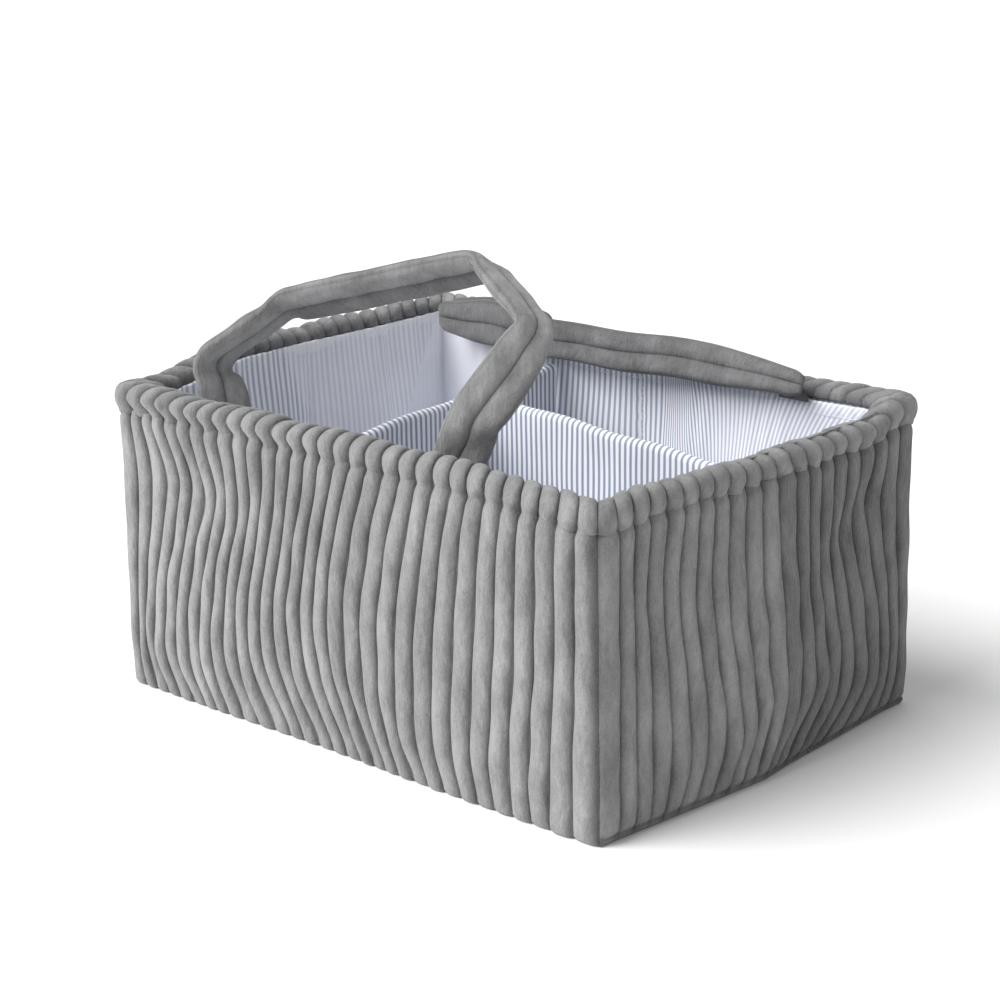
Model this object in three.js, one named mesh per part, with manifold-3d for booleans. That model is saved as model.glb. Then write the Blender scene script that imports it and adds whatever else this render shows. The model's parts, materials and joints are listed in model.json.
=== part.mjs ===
import * as THREE from 'three';
import { mergeVertices } from 'three/addons/utils/BufferGeometryUtils.js';
import Module from 'manifold-3d';

// A soft open caddy of padded wide-wale corduroy: four boarded walls under a plump rim binding,
// a striped lining with gathered pockets, a T-shaped divider and two padded strap handles.
// Millimetres: X runs along the long side, Y to the rear, Z up from the floor under its middle.

const wasm = await Module();
wasm.setup();

// Overall
const rimLength = 380; // over the binding, left to right
const rimDepth = 280; // over the binding, front to rear
const rimHeight = 188; // floor to the top of the binding
const clearance = 0.3; // between pieces that touch

// Layers of a wall, from the outside in
const walePitch = 12.1;
const waleHeight = 4.5;
const waleSteps = 4; // straight steps round one wale
const clothThick = 1.5;
const boardThick = 5;
const liningThick = 1.2;

// Rim binding
const bindingSkin = 1.5; // binding where it is pinched between two puffs
const puffHeight = 2.2;
const puffSteps = 3; // straight steps along one puff
const bindingFill = 3.5; // filling between the wall's top edge and the pinched binding
const bindingDrop = 21; // outer skirt
const bindingInnerDrop = 10; // inner skirt
const bindingRound = 6; // shoulders of the binding
const shoulderTuck = 0.3; // share of that round by which a shoulder falls away from the corner
const shoulderSwell = 0.7; // share of a puff's height on a shoulder, outward and upward

// Base
const basePanelThick = 2.5;
const baseBoardThick = 4;
const baseHem = 1.5; // edge of the base panel past the grooves of the walls
const baseCorner = 10;

// Pockets
const pocketBelowRim = 16;
const pocketTop = rimHeight - pocketBelowRim;
const pocketDepth = 9; // room behind a pocket
const pocketSlope = 20; // run from a pocket's seam to its full depth
const pocketRise = 0.6; // share of the depth reached half way
const pocketSlack = 0.2; // room behind the elastic at a seam
const pocketThick = 1.2;
const pocketCorner = 5; // from the corner of the lining to the first seam
const elasticThick = 0.8;
const elasticHeight = 8;

// Divider
const dividerBelowRim = 16;
const dividerTop = rimHeight - dividerBelowRim;
const dividerThick = 8;
const dividerSkin = 1.2;
const crossX = -49; // middle of the cross panel
const crossSlant = 9; // degrees, its rear end swung to the left
const longAlong = 27; // long panel's seam, to the rear of the cross panel's middle
const longSlant = -9.5; // degrees, its free end swung to the front
const longEndGap = 1.5; // long panel's free end to the pocket it swings past
const seamTapeWidth = 20;
const seamTapeMargin = 4; // above and below the tape

// Handles
const footSpan = 192; // between the two feet of a handle
const handleOffset = 20; // each handle sits left of its wall's middle, seen from outside
const handleRise = 8.5; // hinge line above the rim
const strapWidth = 27;
const strapThick = 10;
const strapWales = 3;
const waleValley = 0.72; // share of the strap's thickness left between two wales
const edgeValley = 0.5; // and along its edges
const webbingWidth = 19;
const webbingThick = 3;
const webbingSlack = 0.6; // webbing to the inside of its cover

// Standing front handle
const frontLean = 30; // degrees inward
const coverStart = 5; // cover's end above the hinge line
const legStart = 12; // straight stretch at each foot
const kneeOut = 11; // left leg bows outward to its knee
const kneeRise = 34;
const leftCrease = new THREE.Vector2(-75, 62);
const topCrease = new THREE.Vector2(58, 97);
const rightCrease = new THREE.Vector2(114, 68);
const creaseCut = 12; // length of strap taken up on each side of a crease
const leftTwist = 46; // length over which the left leg turns edge on
const rightTwist = 74;
const twistStep = 6; // longest step along the legs, which twist
const gripStep = 24; // and along the top, which doesn't

// Folded rear handle
const rearLeg = 66; // foot to fold
const rearTabThick = 3;
const webbingPast = 6; // webbing runs on past each fold

// Insets of the layers from the rim's outer faces
const wallCrest = bindingSkin + puffHeight + clearance;
const wallGroove = wallCrest + waleHeight;
const clothInner = wallGroove + clothThick;
const boardOuter = clothInner + clearance;
const boardInner = boardOuter + boardThick;
const liningOuter = boardInner + clearance;
const liningInner = liningOuter + liningThick;
const slotInner = liningInner + clearance;
const bindingGroove = slotInner + bindingSkin;
const bindingInner = bindingGroove + puffHeight;
const pocketSeam = elasticThick + 2 * clearance + pocketSlack;
const pocketInner = liningInner + pocketSeam + pocketDepth + pocketThick;

// Heights
const slotTop = rimHeight - puffHeight - bindingFill;
const wallTop = slotTop - clearance;
const wallFoot = basePanelThick + clearance;
const baseBoardTop = wallFoot + baseBoardThick;
const liningFoot = baseBoardTop + clearance;
const floorTop = liningFoot + liningThick;
const insideFoot = floorTop + clearance;
const hingeHeight = rimHeight + handleRise;

const corduroy = 0x8f8e8d;
const stripedCotton = 0xdadfe6;
const foam = 0xe6e2d8;
const stiffener = 0xb9b4a8;
const elasticWhite = 0xf1f1ee;
const webbingGrey = 0x6f6f70;

const part = new THREE.Group();

function addMesh(parent, name, geometry, color, roughness = 0.95) {
  const material = new THREE.MeshStandardMaterial({ color, roughness, metalness: 0 });
  const mesh = new THREE.Mesh(geometry, material);
  mesh.name = name;
  parent.add(mesh);
  return mesh;
}

function slab(low, high) {
  const box = new THREE.Box3(low, high);
  const size = box.getSize(new THREE.Vector3());
  const middle = box.getCenter(new THREE.Vector3());
  return new THREE.BoxGeometry(size.x, size.y, size.z).translate(middle.x, middle.y, middle.z);
}

function extrudeUp(shape, low, high, curveSegments = 6) {
  const settings = { depth: high - low, bevelEnabled: false, curveSegments };
  return new THREE.ExtrudeGeometry(shape, settings).translate(0, 0, low);
}

function toSolid(geometry) {
  const bare = geometry.clone();
  bare.deleteAttribute('normal');
  bare.deleteAttribute('uv');
  const merged = mergeVertices(bare);
  const vertProperties = new Float32Array(merged.attributes.position.array);
  const triVerts = new Uint32Array(merged.index.array);
  return new wasm.Manifold(new wasm.Mesh({ numProp: 3, vertProperties, triVerts }));
}

function toGeometry(solid) {
  const mesh = solid.getMesh();
  const geometry = new THREE.BufferGeometry();
  geometry.setAttribute('position', new THREE.BufferAttribute(mesh.vertProperties, 3));
  geometry.setIndex(new THREE.BufferAttribute(mesh.triVerts, 1));
  return geometry;
}

const cut = (from, tool) => toGeometry(toSolid(from).subtract(toSolid(tool)));
const join = (first, second) => toGeometry(toSolid(first).add(toSolid(second)));

// Turns every face round if the closed surface encloses a negative volume.
function facingOut(geometry) {
  const point = (i) => new THREE.Vector3().fromBufferAttribute(geometry.attributes.position, i);
  const index = Array.from(geometry.index.array);
  let volume = 0;
  for (let i = 0; i < index.length; i += 3) {
    volume += point(index[i]).dot(point(index[i + 1]).cross(point(index[i + 2])));
  }
  if (volume < 0) {
    index.reverse();
  }
  geometry.setIndex(index);
  return geometry;
}

// A closed body through one section at every station. The outline runs anticlockwise, a bore clockwise.
function loft(outline, bore, stations, place) {
  const section = [...outline, ...bore];
  const count = section.length;
  const rings = stations.map((station) => section.map((point, i) => place(point, station, i)));
  const position = rings.flat().flatMap((point) => point.toArray());
  const index = [];
  for (let ring = 0; ring + 1 < stations.length; ring += 1) {
    outline.forEach((_, i) => {
      const a = ring * count + i;
      const b = ring * count + ((i + 1) % outline.length);
      index.push(a, b, b + count, a, b + count, a + count);
    });
    // The bore's faces are split along the same diagonals, so that what it holds clears it in a twist.
    bore.forEach((_, i) => {
      const a = ring * count + outline.length + i;
      const b = ring * count + outline.length + ((i + 1) % bore.length);
      index.push(a, b, a + count, b, b + count, a + count);
    });
  }
  const last = (stations.length - 1) * count;
  const holes = bore.length ? [bore] : [];
  THREE.ShapeUtils.triangulateShape(outline, holes).forEach(([a, b, c]) => {
    index.push(a, c, b);
    index.push(last + a, last + b, last + c);
  });
  const geometry = new THREE.BufferGeometry();
  geometry.setAttribute('position', new THREE.Float32BufferAttribute(position, 3));
  geometry.setIndex(index);
  return facingOut(geometry);
}

// Each wall is drawn as the front one, its outer face towards -Y, and turned into place.
function makeWall(name, length, distance, turn, through) {
  const group = new THREE.Group();
  group.rotation.z = turn;
  part.add(group);
  return { name, group, half: length / 2, face: -distance, through };
}

const quarterTurn = Math.PI / 2;
const front = makeWall('front', rimLength, rimDepth / 2, 0, true);
const right = makeWall('right', rimDepth, rimLength / 2, quarterTurn, false);
const rear = makeWall('rear', rimLength, rimDepth / 2, 2 * quarterTurn, true);
const left = makeWall('left', rimDepth, rimLength / 2, 3 * quarterTurn, false);
const walls = [front, right, rear, left];

// Upright wales stand on a backing cloth, mitred at the corners of the box.
function outerPanel(wall) {
  const outerEnd = wall.half - wallGroove - clearance;
  const innerEnd = wall.half - clothInner - clearance;
  const groove = wall.face + wallGroove;
  const wales = Math.round((2 * outerEnd) / walePitch);
  const pitch = (2 * outerEnd) / wales;
  const shape = new THREE.Shape();
  shape.moveTo(innerEnd, wall.face + clothInner);
  shape.lineTo(-innerEnd, wall.face + clothInner);
  shape.lineTo(-outerEnd, groove);
  for (let i = 0; i < wales; i += 1) {
    const start = -outerEnd + i * pitch;
    shape.quadraticCurveTo(start + pitch / 2, groove - 2 * waleHeight, start + pitch, groove);
  }
  addMesh(wall.group, `${wall.name}_outer_panel`, extrudeUp(shape, wallFoot, wallTop, waleSteps), corduroy);
}

// Boards and linings of the long walls run through, those of the short walls stand between them.
function layer(wall, suffix, outer, inner, foot, color) {
  const end = wall.half - (wall.through ? outer : inner + clearance);
  const low = new THREE.Vector3(-end, wall.face + outer, foot);
  const high = new THREE.Vector3(end, wall.face + inner, wallTop);
  addMesh(wall.group, `${wall.name}_${suffix}`, slab(low, high), color);
}

// The binding straddles the wall's top edge as a channel. Its wales run across it as a row of puffs.
function rimBinding(wall) {
  const skirtOuter = rimHeight - bindingDrop;
  const skirtInner = rimHeight - bindingInnerDrop;
  const belly = bindingRound;
  const shoulder = rimHeight - bindingRound;
  const slotOuter = wallCrest - clearance;
  const tuck = shoulderTuck * bindingRound;
  const corner = (inset, height, out, up) => ({
    groove: new THREE.Vector2(inset, height),
    puff: new THREE.Vector2(out * puffHeight, up * puffHeight),
  });
  const section = [
    corner(slotOuter, skirtOuter, 0, 0),
    corner(slotOuter, slotTop, 0, 0),
    corner(slotInner, slotTop, 0, 0),
    corner(slotInner, skirtInner, 0, 0),
    corner(bindingGroove, skirtInner, 0, 0),
    corner(bindingGroove, shoulder - puffHeight, 1, 0),
    corner(bindingGroove - tuck, rimHeight - puffHeight - tuck, shoulderSwell, shoulderSwell),
    corner(bindingInner / 2, rimHeight - puffHeight, 0, 1),
    corner(puffHeight + tuck, rimHeight - puffHeight - tuck, -shoulderSwell, shoulderSwell),
    corner(puffHeight, shoulder - puffHeight, -1, 0),
    corner(puffHeight, skirtOuter + belly, -1, 0),
    corner(puffHeight, skirtOuter, 0, 0),
  ];
  const puffs = Math.round((2 * wall.half) / walePitch) - 1;
  const stations = Array.from({ length: puffs * puffSteps + 1 }, (_, i) => i);
  const place = (point, station, i) => {
    const swell = Math.sin((Math.PI * (station % puffSteps)) / puffSteps);
    const inset = point.x + section[i].puff.x * swell;
    const height = point.y + section[i].puff.y * swell;
    const along = (2 * station) / (puffs * puffSteps) - 1;
    return new THREE.Vector3(along * (wall.half - inset - clearance), wall.face + inset, height);
  };
  const outline = section.map((point) => point.groove);
  addMesh(wall.group, `${wall.name}_rim_binding`, loft(outline, [], stations, place), corduroy);
}

// Distance of a pocket from the lining along a wall: sewn down at the corners and in the middle.
function pocketLine(wall) {
  const end = wall.half - liningInner - pocketCorner;
  const full = pocketSeam + pocketDepth;
  const rising = pocketSeam + pocketRise * pocketDepth;
  const bay = (from, to) => {
    const step = Math.sign(to - from) * pocketSlope;
    return [
      new THREE.Vector2(from, pocketSeam),
      new THREE.Vector2(from + step / 2, rising),
      new THREE.Vector2(from + step, full),
      new THREE.Vector2(to - step, full),
      new THREE.Vector2(to - step / 2, rising),
    ];
  };
  return [...bay(-end, 0), ...bay(0, end), new THREE.Vector2(end, pocketSeam)];
}

function clothStrip(wall, line, near, far, low, high) {
  const base = wall.face + liningInner;
  const back = line.map((point) => new THREE.Vector2(point.x, base + point.y + near));
  const face = line.map((point) => new THREE.Vector2(point.x, base + point.y + far));
  return extrudeUp(new THREE.Shape([...back, ...face.reverse()]), low, high);
}

function pocket(wall) {
  const line = pocketLine(wall);
  const cloth = clothStrip(wall, line, 0, pocketThick, insideFoot, pocketTop);
  addMesh(wall.group, `${wall.name}_pocket`, cloth, stripedCotton);
  const behind = -clearance - elasticThick;
  const band = clothStrip(wall, line, behind, -clearance, pocketTop - elasticHeight, pocketTop);
  addMesh(wall.group, `${wall.name}_pocket_elastic`, band, elasticWhite);
}

walls.forEach((wall) => {
  outerPanel(wall);
  layer(wall, 'wall_board', boardOuter, boardInner, wallFoot, foam);
  layer(wall, 'lining', liningOuter, liningInner, liningFoot, stripedCotton);
  rimBinding(wall);
  pocket(wall);
});

function basePanel() {
  const x = rimLength / 2 - wallGroove + baseHem;
  const y = rimDepth / 2 - wallGroove + baseHem;
  const r = baseCorner;
  const shape = new THREE.Shape();
  shape.absarc(x - r, y - r, r, 0, quarterTurn, false);
  shape.absarc(r - x, y - r, r, quarterTurn, 2 * quarterTurn, false);
  shape.absarc(r - x, r - y, r, 2 * quarterTurn, 3 * quarterTurn, false);
  shape.absarc(x - r, r - y, r, 3 * quarterTurn, 4 * quarterTurn, false);
  addMesh(part, 'base_panel', extrudeUp(shape, 0, basePanelThick), corduroy);
}

function baseLayer(name, inset, low, high, color) {
  const corner = new THREE.Vector3(rimLength / 2 - inset, rimDepth / 2 - inset, 0);
  const lowest = new THREE.Vector3(-corner.x, -corner.y, low);
  const highest = new THREE.Vector3(corner.x, corner.y, high);
  addMesh(part, name, slab(lowest, highest), color);
}

basePanel();
baseLayer('base_board', boardInner + clearance, wallFoot, baseBoardTop, stiffener);
baseLayer('base_lining', liningInner + clearance, liningFoot, floorTop, stripedCotton);

// A divider cover is a sleeve with a folded top edge, open below, drawn along X from 0.
function dividerCover(length) {
  const half = dividerThick / 2;
  const section = new THREE.Shape();
  section.moveTo(-half, insideFoot);
  section.lineTo(half, insideFoot);
  section.lineTo(half, dividerTop - half);
  section.absarc(0, dividerTop - half, half, 0, Math.PI, false);
  const settings = { depth: length, bevelEnabled: false, curveSegments: 8 };
  const body = new THREE.ExtrudeGeometry(section, settings).rotateX(quarterTurn).rotateZ(quarterTurn);
  return body;
}

function dividerSlot(from, to, spare) {
  const half = dividerThick / 2 - dividerSkin - spare;
  const low = new THREE.Vector3(from + spare, -half, insideFoot + (spare ? 0 : -dividerSkin));
  return slab(low, new THREE.Vector3(to - spare, half, dividerTop - dividerThick / 2 - spare));
}

function divider() {
  const half = dividerThick / 2;
  const slant = THREE.MathUtils.degToRad(crossSlant);
  const room = rimDepth / 2 - pocketInner - clearance;
  const crossHalf = (room - half * Math.sin(slant)) / Math.cos(slant);
  const insert = new THREE.Group();
  insert.position.x = crossX;
  insert.rotation.z = slant;
  part.add(insert);

  const cross = new THREE.Group();
  cross.position.y = -crossHalf;
  cross.rotation.z = quarterTurn;
  insert.add(cross);
  const crossSlot = [dividerSkin, 2 * crossHalf - dividerSkin];
  const crossCover = cut(dividerCover(2 * crossHalf), dividerSlot(...crossSlot, 0));
  addMesh(cross, 'divider_cross_cover', crossCover, stripedCotton);
  addMesh(cross, 'divider_cross_board', dividerSlot(...crossSlot, clearance), stiffener);

  const tapeFace = half + clearance;
  const tapeLow = new THREE.Vector3(tapeFace, longAlong - seamTapeWidth / 2, insideFoot + seamTapeMargin);
  const tapeTop = dividerTop - half - seamTapeMargin;
  const tapeHigh = new THREE.Vector3(tapeFace + dividerSkin, longAlong + seamTapeWidth / 2, tapeTop);
  addMesh(insert, 'divider_seam_tape', slab(tapeLow, tapeHigh), stripedCotton);

  const hinge = tapeFace + dividerSkin + clearance + half;
  const hingeX = crossX + hinge * Math.cos(slant) - longAlong * Math.sin(slant);
  const reach = rimLength / 2 - pocketInner - longEndGap - hingeX;
  const long = new THREE.Group();
  long.position.set(hinge, longAlong, 0);
  long.rotation.z = THREE.MathUtils.degToRad(longSlant) - slant;
  insert.add(long);
  const post = new THREE.CylinderGeometry(half, half, dividerTop - half - insideFoot, 16);
  post.rotateX(quarterTurn).translate(0, 0, (dividerTop - half + insideFoot) / 2);
  const knob = new THREE.SphereGeometry(half, 16, 8).rotateX(quarterTurn);
  knob.translate(0, 0, dividerTop - half);
  const longSlot = [dividerSkin, reach - dividerSkin];
  const rounded = join(join(dividerCover(reach), post), knob);
  addMesh(long, 'divider_long_cover', cut(rounded, dividerSlot(...longSlot, 0)), stripedCotton);
  addMesh(long, 'divider_long_board', dividerSlot(...longSlot, clearance), stiffener);
}

divider();

// Section of a padded strap: wales along both broad faces, thinner towards its edges.
function strapOutline(width, thick) {
  const steps = 2 * strapWales;
  const faceOf = (side) =>
    Array.from({ length: steps + 1 }, (_, i) => {
      const edge = i === 0 || i === steps ? edgeValley : waleValley;
      const share = i % 2 ? 1 : edge;
      return new THREE.Vector2((side * width * (i - strapWales)) / steps, (-side * thick * share) / 2);
    });
  return [...faceOf(1), ...faceOf(-1)];
}

function flatOutline(width, thick) {
  const x = width / 2;
  const y = thick / 2;
  return [
    new THREE.Vector2(-x, -y),
    new THREE.Vector2(x, -y),
    new THREE.Vector2(x, y),
    new THREE.Vector2(-x, y),
  ];
}

// Centre line of the standing strap in its own plane, creased where the soft strap folds.
function frontRoute() {
  const foot = footSpan / 2;
  const corners = [
    new THREE.Vector2(-foot, 0),
    new THREE.Vector2(-foot, legStart),
    new THREE.Vector2(-foot - kneeOut, kneeRise),
    leftCrease,
    topCrease,
    rightCrease,
    new THREE.Vector2(foot, legStart),
    new THREE.Vector2(foot, 0),
  ];
  const path = new THREE.Path().moveTo(corners[0].x, corners[0].y);
  for (let i = 1; i + 1 < corners.length; i += 1) {
    const near = (other) => {
      const toward = other.clone().sub(corners[i]);
      return toward.setLength(Math.min(creaseCut, toward.length() / 2)).add(corners[i]);
    };
    const before = near(corners[i - 1]);
    const after = near(corners[i + 1]);
    path.lineTo(before.x, before.y);
    path.quadraticCurveTo(corners[i].x, corners[i].y, after.x, after.y);
  }
  path.lineTo(foot, 0);
  return path.curves.flatMap((curve) => {
    const lowest = Math.min(curve.getPoint(0).y, curve.getPoint(1).y);
    const steps = Math.ceil(curve.getLength() / (lowest < leftCrease.y ? twistStep : gripStep));
    return Array.from({ length: steps }, (_, i) => ({
      point: curve.getPoint(i / steps),
      run: curve.getTangent(i / steps),
      step: curve.getLength() / steps,
    }));
  });
}

// Stations of the strap: place, direction and how far it has turned from flat on to edge on.
function frontStations() {
  const stations = frontRoute();
  const foot = footSpan / 2;
  const end = { point: new THREE.Vector2(foot, 0), run: new THREE.Vector2(0, -1), step: 0 };
  const all = [...stations, end];
  const whole = stations.reduce((sum, station) => sum + station.step, 0);
  let gone = 0;
  all.forEach((station) => {
    const fromLeft = THREE.MathUtils.smoothstep(gone, legStart, leftTwist);
    const fromRight = THREE.MathUtils.smoothstep(whole - gone, legStart, rightTwist);
    station.turn = quarterTurn * Math.min(fromLeft, fromRight);
    gone += station.step;
  });
  return all;
}

// Width and thickness of the strap are turned about its centre line. The hinge line is at Z = 0.
function placeOnStrap(point, station) {
  const across = point.x * Math.cos(station.turn) - point.y * Math.sin(station.turn);
  const out = point.x * Math.sin(station.turn) + point.y * Math.cos(station.turn);
  const x = station.point.x + across * station.run.y;
  const z = station.point.y - across * station.run.x;
  return new THREE.Vector3(x, out, z);
}

function frontHandle() {
  const group = front.group;
  const tabOuter = front.face + bindingInner + clearance;
  const axis = tabOuter + strapThick / 2;
  const handle = new THREE.Group();
  handle.position.set(-handleOffset, axis, hingeHeight);
  handle.rotation.x = -THREE.MathUtils.degToRad(frontLean);
  group.add(handle);

  const stations = frontStations();
  const lastLeg = stations.length - 1;
  const trimmed = stations.map((station, i) => {
    const isEnd = i === 0 || i === lastLeg;
    const point = isEnd ? station.point.clone().setY(coverStart) : station.point;
    return { ...station, point };
  });
  const tunnelWidth = webbingWidth + 2 * webbingSlack;
  const tunnelThick = webbingThick + 2 * webbingSlack;
  const bore = flatOutline(tunnelWidth, tunnelThick).reverse();
  const cover = loft(strapOutline(strapWidth, strapThick), bore, trimmed, placeOnStrap);
  addMesh(handle, 'front_handle_cover', cover, corduroy);

  const roundEnd = [75, 40].map((degrees) => THREE.MathUtils.degToRad(degrees));
  const endStation = (station) => (angle) => ({
    ...station,
    point: station.point.clone().setY((-Math.sin(angle) * webbingThick) / 2),
    thin: Math.cos(angle),
  });
  const webbing = [
    ...roundEnd.map(endStation(stations[0])),
    ...stations,
    ...roundEnd.map(endStation(stations[lastLeg])).reverse(),
  ];
  const placeThin = (point, station) =>
    placeOnStrap(new THREE.Vector2(point.x, point.y * (station.thin ?? 1)), station);
  const flat = flatOutline(webbingWidth, webbingThick);
  addMesh(handle, 'front_handle_webbing', loft(flat, [], webbing, placeThin), webbingGrey);

  const tabTop = hingeHeight - webbingThick / 2 - clearance;
  const tabFoot = pocketTop + clearance;
  ['left', 'right'].forEach((side, i) => {
    const middle = -handleOffset + (i - 0.5) * footSpan;
    const low = new THREE.Vector3(middle - strapWidth / 2, tabOuter, tabFoot);
    const high = new THREE.Vector3(middle + strapWidth / 2, tabOuter + strapThick, tabTop);
    addMesh(group, `front_handle_${side}_tab`, slab(low, high), corduroy);
  });
}

frontHandle();

// A straight length of padded strap with round ends, along X from one fold to the next.
function strapLength(from, to, depth) {
  const r = strapWidth / 2;
  const angles = [80, 55, 30, 0].map((degrees) => THREE.MathUtils.degToRad(degrees));
  const startEnd = angles.map((angle) => ({ x: from - r * Math.sin(angle), share: Math.cos(angle) }));
  const farEnd = angles.map((angle) => ({ x: to + r * Math.sin(angle), share: Math.cos(angle) }));
  const place = (point, station) =>
    new THREE.Vector3(station.x, depth + point.y, hingeHeight + point.x * station.share);
  const stations = [...startEnd, ...farEnd.reverse()];
  const body = loft(strapOutline(strapWidth, strapThick), [], stations, place);
  const tunnel = (spare, past) => {
    const width = webbingWidth / 2 + webbingSlack - spare;
    const thick = webbingThick / 2 + webbingSlack - spare;
    const low = new THREE.Vector3(from - past, depth - thick, hingeHeight - width);
    return slab(low, new THREE.Vector3(to + past, depth + thick, hingeHeight + width));
  };
  return { cover: cut(body, tunnel(0, strapWidth)), webbing: tunnel(webbingSlack, webbingPast) };
}

// The rear handle lies on its side: each leg in the layer next to the wall, the grip inside them.
function rearHandle() {
  const group = rear.group;
  const tabOuter = rear.face + bindingInner + clearance;
  const legDepth = tabOuter + rearTabThick + clearance + strapThick / 2;
  const gripDepth = legDepth + strapThick + clearance;
  const rightFoot = -handleOffset - footSpan / 2;
  const leftFoot = -handleOffset + footSpan / 2;
  const lengths = {
    right_leg: strapLength(rightFoot, rightFoot + rearLeg, legDepth),
    grip: strapLength(rightFoot + rearLeg, leftFoot + rearLeg, gripDepth),
    left_leg: strapLength(leftFoot, leftFoot + rearLeg, legDepth),
  };
  Object.entries(lengths).forEach(([name, strap]) => {
    addMesh(group, `rear_handle_${name}`, strap.cover, corduroy);
    addMesh(group, `rear_handle_${name}_webbing`, strap.webbing, webbingGrey);
  });

  const r = strapWidth / 2;
  const tabFoot = rimHeight - bindingInnerDrop;
  [['right', rightFoot], ['left', leftFoot]].forEach(([side, middle]) => {
    const shape = new THREE.Shape();
    shape.moveTo(middle - r, tabFoot);
    shape.lineTo(middle + r, tabFoot);
    shape.absarc(middle, hingeHeight, r, 0, Math.PI, false);
    const tab = extrudeUp(shape, 0, rearTabThick).rotateX(quarterTurn);
    tab.translate(0, tabOuter + rearTabThick, 0);
    addMesh(group, `rear_handle_${side}_tab`, tab, corduroy);
  });
}

rearHandle();

export default part;
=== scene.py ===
import json
import math

import bmesh
import bpy
import numpy as np
from mathutils import Matrix, Vector

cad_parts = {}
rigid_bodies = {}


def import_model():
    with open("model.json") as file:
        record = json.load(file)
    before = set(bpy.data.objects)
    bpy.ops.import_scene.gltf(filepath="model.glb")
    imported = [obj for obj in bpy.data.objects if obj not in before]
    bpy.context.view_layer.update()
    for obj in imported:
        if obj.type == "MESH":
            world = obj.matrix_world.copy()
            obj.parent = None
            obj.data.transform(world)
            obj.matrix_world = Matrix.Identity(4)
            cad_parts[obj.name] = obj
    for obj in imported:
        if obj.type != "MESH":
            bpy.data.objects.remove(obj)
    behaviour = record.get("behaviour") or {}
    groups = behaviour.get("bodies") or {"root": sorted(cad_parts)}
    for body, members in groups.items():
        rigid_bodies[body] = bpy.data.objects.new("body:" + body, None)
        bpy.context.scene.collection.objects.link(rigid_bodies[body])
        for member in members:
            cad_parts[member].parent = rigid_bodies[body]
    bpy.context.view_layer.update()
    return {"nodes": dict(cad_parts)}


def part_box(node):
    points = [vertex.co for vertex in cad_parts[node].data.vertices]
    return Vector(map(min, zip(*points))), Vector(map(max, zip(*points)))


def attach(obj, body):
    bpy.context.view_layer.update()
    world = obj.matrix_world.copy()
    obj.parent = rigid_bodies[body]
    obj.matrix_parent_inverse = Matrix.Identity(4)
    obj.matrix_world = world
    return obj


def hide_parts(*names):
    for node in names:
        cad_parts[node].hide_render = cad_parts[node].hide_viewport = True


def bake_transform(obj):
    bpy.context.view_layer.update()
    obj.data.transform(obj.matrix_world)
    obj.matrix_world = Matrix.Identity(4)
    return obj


# Soft corduroy caddy. Sizes below are millimetres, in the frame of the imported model.
for leftover in list(bpy.data.objects):
    bpy.data.objects.remove(leftover)
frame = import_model()
print("frame loaded")


def boxOf(node):
    low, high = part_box(node)
    return np.array(low) * 1000, np.array(high) * 1000


def smoothstep(low, high, value):
    t = np.clip((value - low) / (high - low), 0, 1)
    return t * t * (3 - 2 * t)


def rising(least, low, high, value):  # from a least share to 1
    return least + (1 - least) * smoothstep(low, high, value)


def ramp(table, value):  # an amount that is reached between two places
    amount, low, high = table
    return amount * smoothstep(low, high, value)


def bell(value, spread):
    return np.exp(-((value / spread) ** 2))


def hump(table, value):  # an amount at a place, with its spread
    amount, place, spread = table
    return amount * bell(value - place, spread)


def bumps(table, a, h):  # each: amount, place along, spread along, place down, spread down
    return sum(amount * bell(a - atA, wideA) * bell(h - atH, wideH) for amount, atA, wideA, atH, wideH in table)


def ripple(seed, *coords):  # soft repeatable unevenness, about -1 to 1
    rng = np.random.default_rng(seed)
    waves, total = 7, 0
    for _ in range(waves):
        lean = rng.uniform(-1, 1, len(coords))
        lean /= np.abs(lean).max()
        phase = rng.uniform(0, 2 * np.pi)
        total = total + np.sin(2 * np.pi * sum(c * k for c, k in zip(coords, lean)) + phase)
    return 2 * total / waves


def uneven(table, seed, *coords):  # a ripple: its amount, then a wave length for each coordinate
    amount, *lengths = table
    return amount * ripple(seed, *(c / length for c, length in zip(coords, lengths)))


# A row of rounded ridges: places counted in ridges, crests from 0 to 1, and the ridge that each place is on.
def ridges(count, steps, power=1):
    angle = np.pi * np.arange(steps) / steps
    place = np.concatenate([(1 - np.cos(angle)) / 2 + i for i in range(count)] + [[count]])
    crest = np.concatenate([np.tile(np.sin(angle), count), [0.0]]) ** power
    return place, crest, np.minimum(place.astype(int), count - 1)


def gridOf(*coords):  # points from coordinates that spread over one grid
    return np.stack(np.broadcast_arrays(*coords), -1)


def gridFaces(rows, columns, first=0):
    a = first + np.arange(rows * columns).reshape(rows, columns)
    return np.stack([a[:-1, :-1], a[:-1, 1:], a[1:, 1:], a[1:, :-1]], -1).reshape(-1, 4)


def edgeFaces(edge, offset):  # joins an edge to its copy in the second grid
    return np.stack([edge[:-1], edge[1:], edge[1:] + offset, edge[:-1] + offset], 1)


def addObject(name, data):
    item = bpy.data.objects.new(name, data)
    bpy.context.scene.collection.objects.link(item)
    return item


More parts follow.
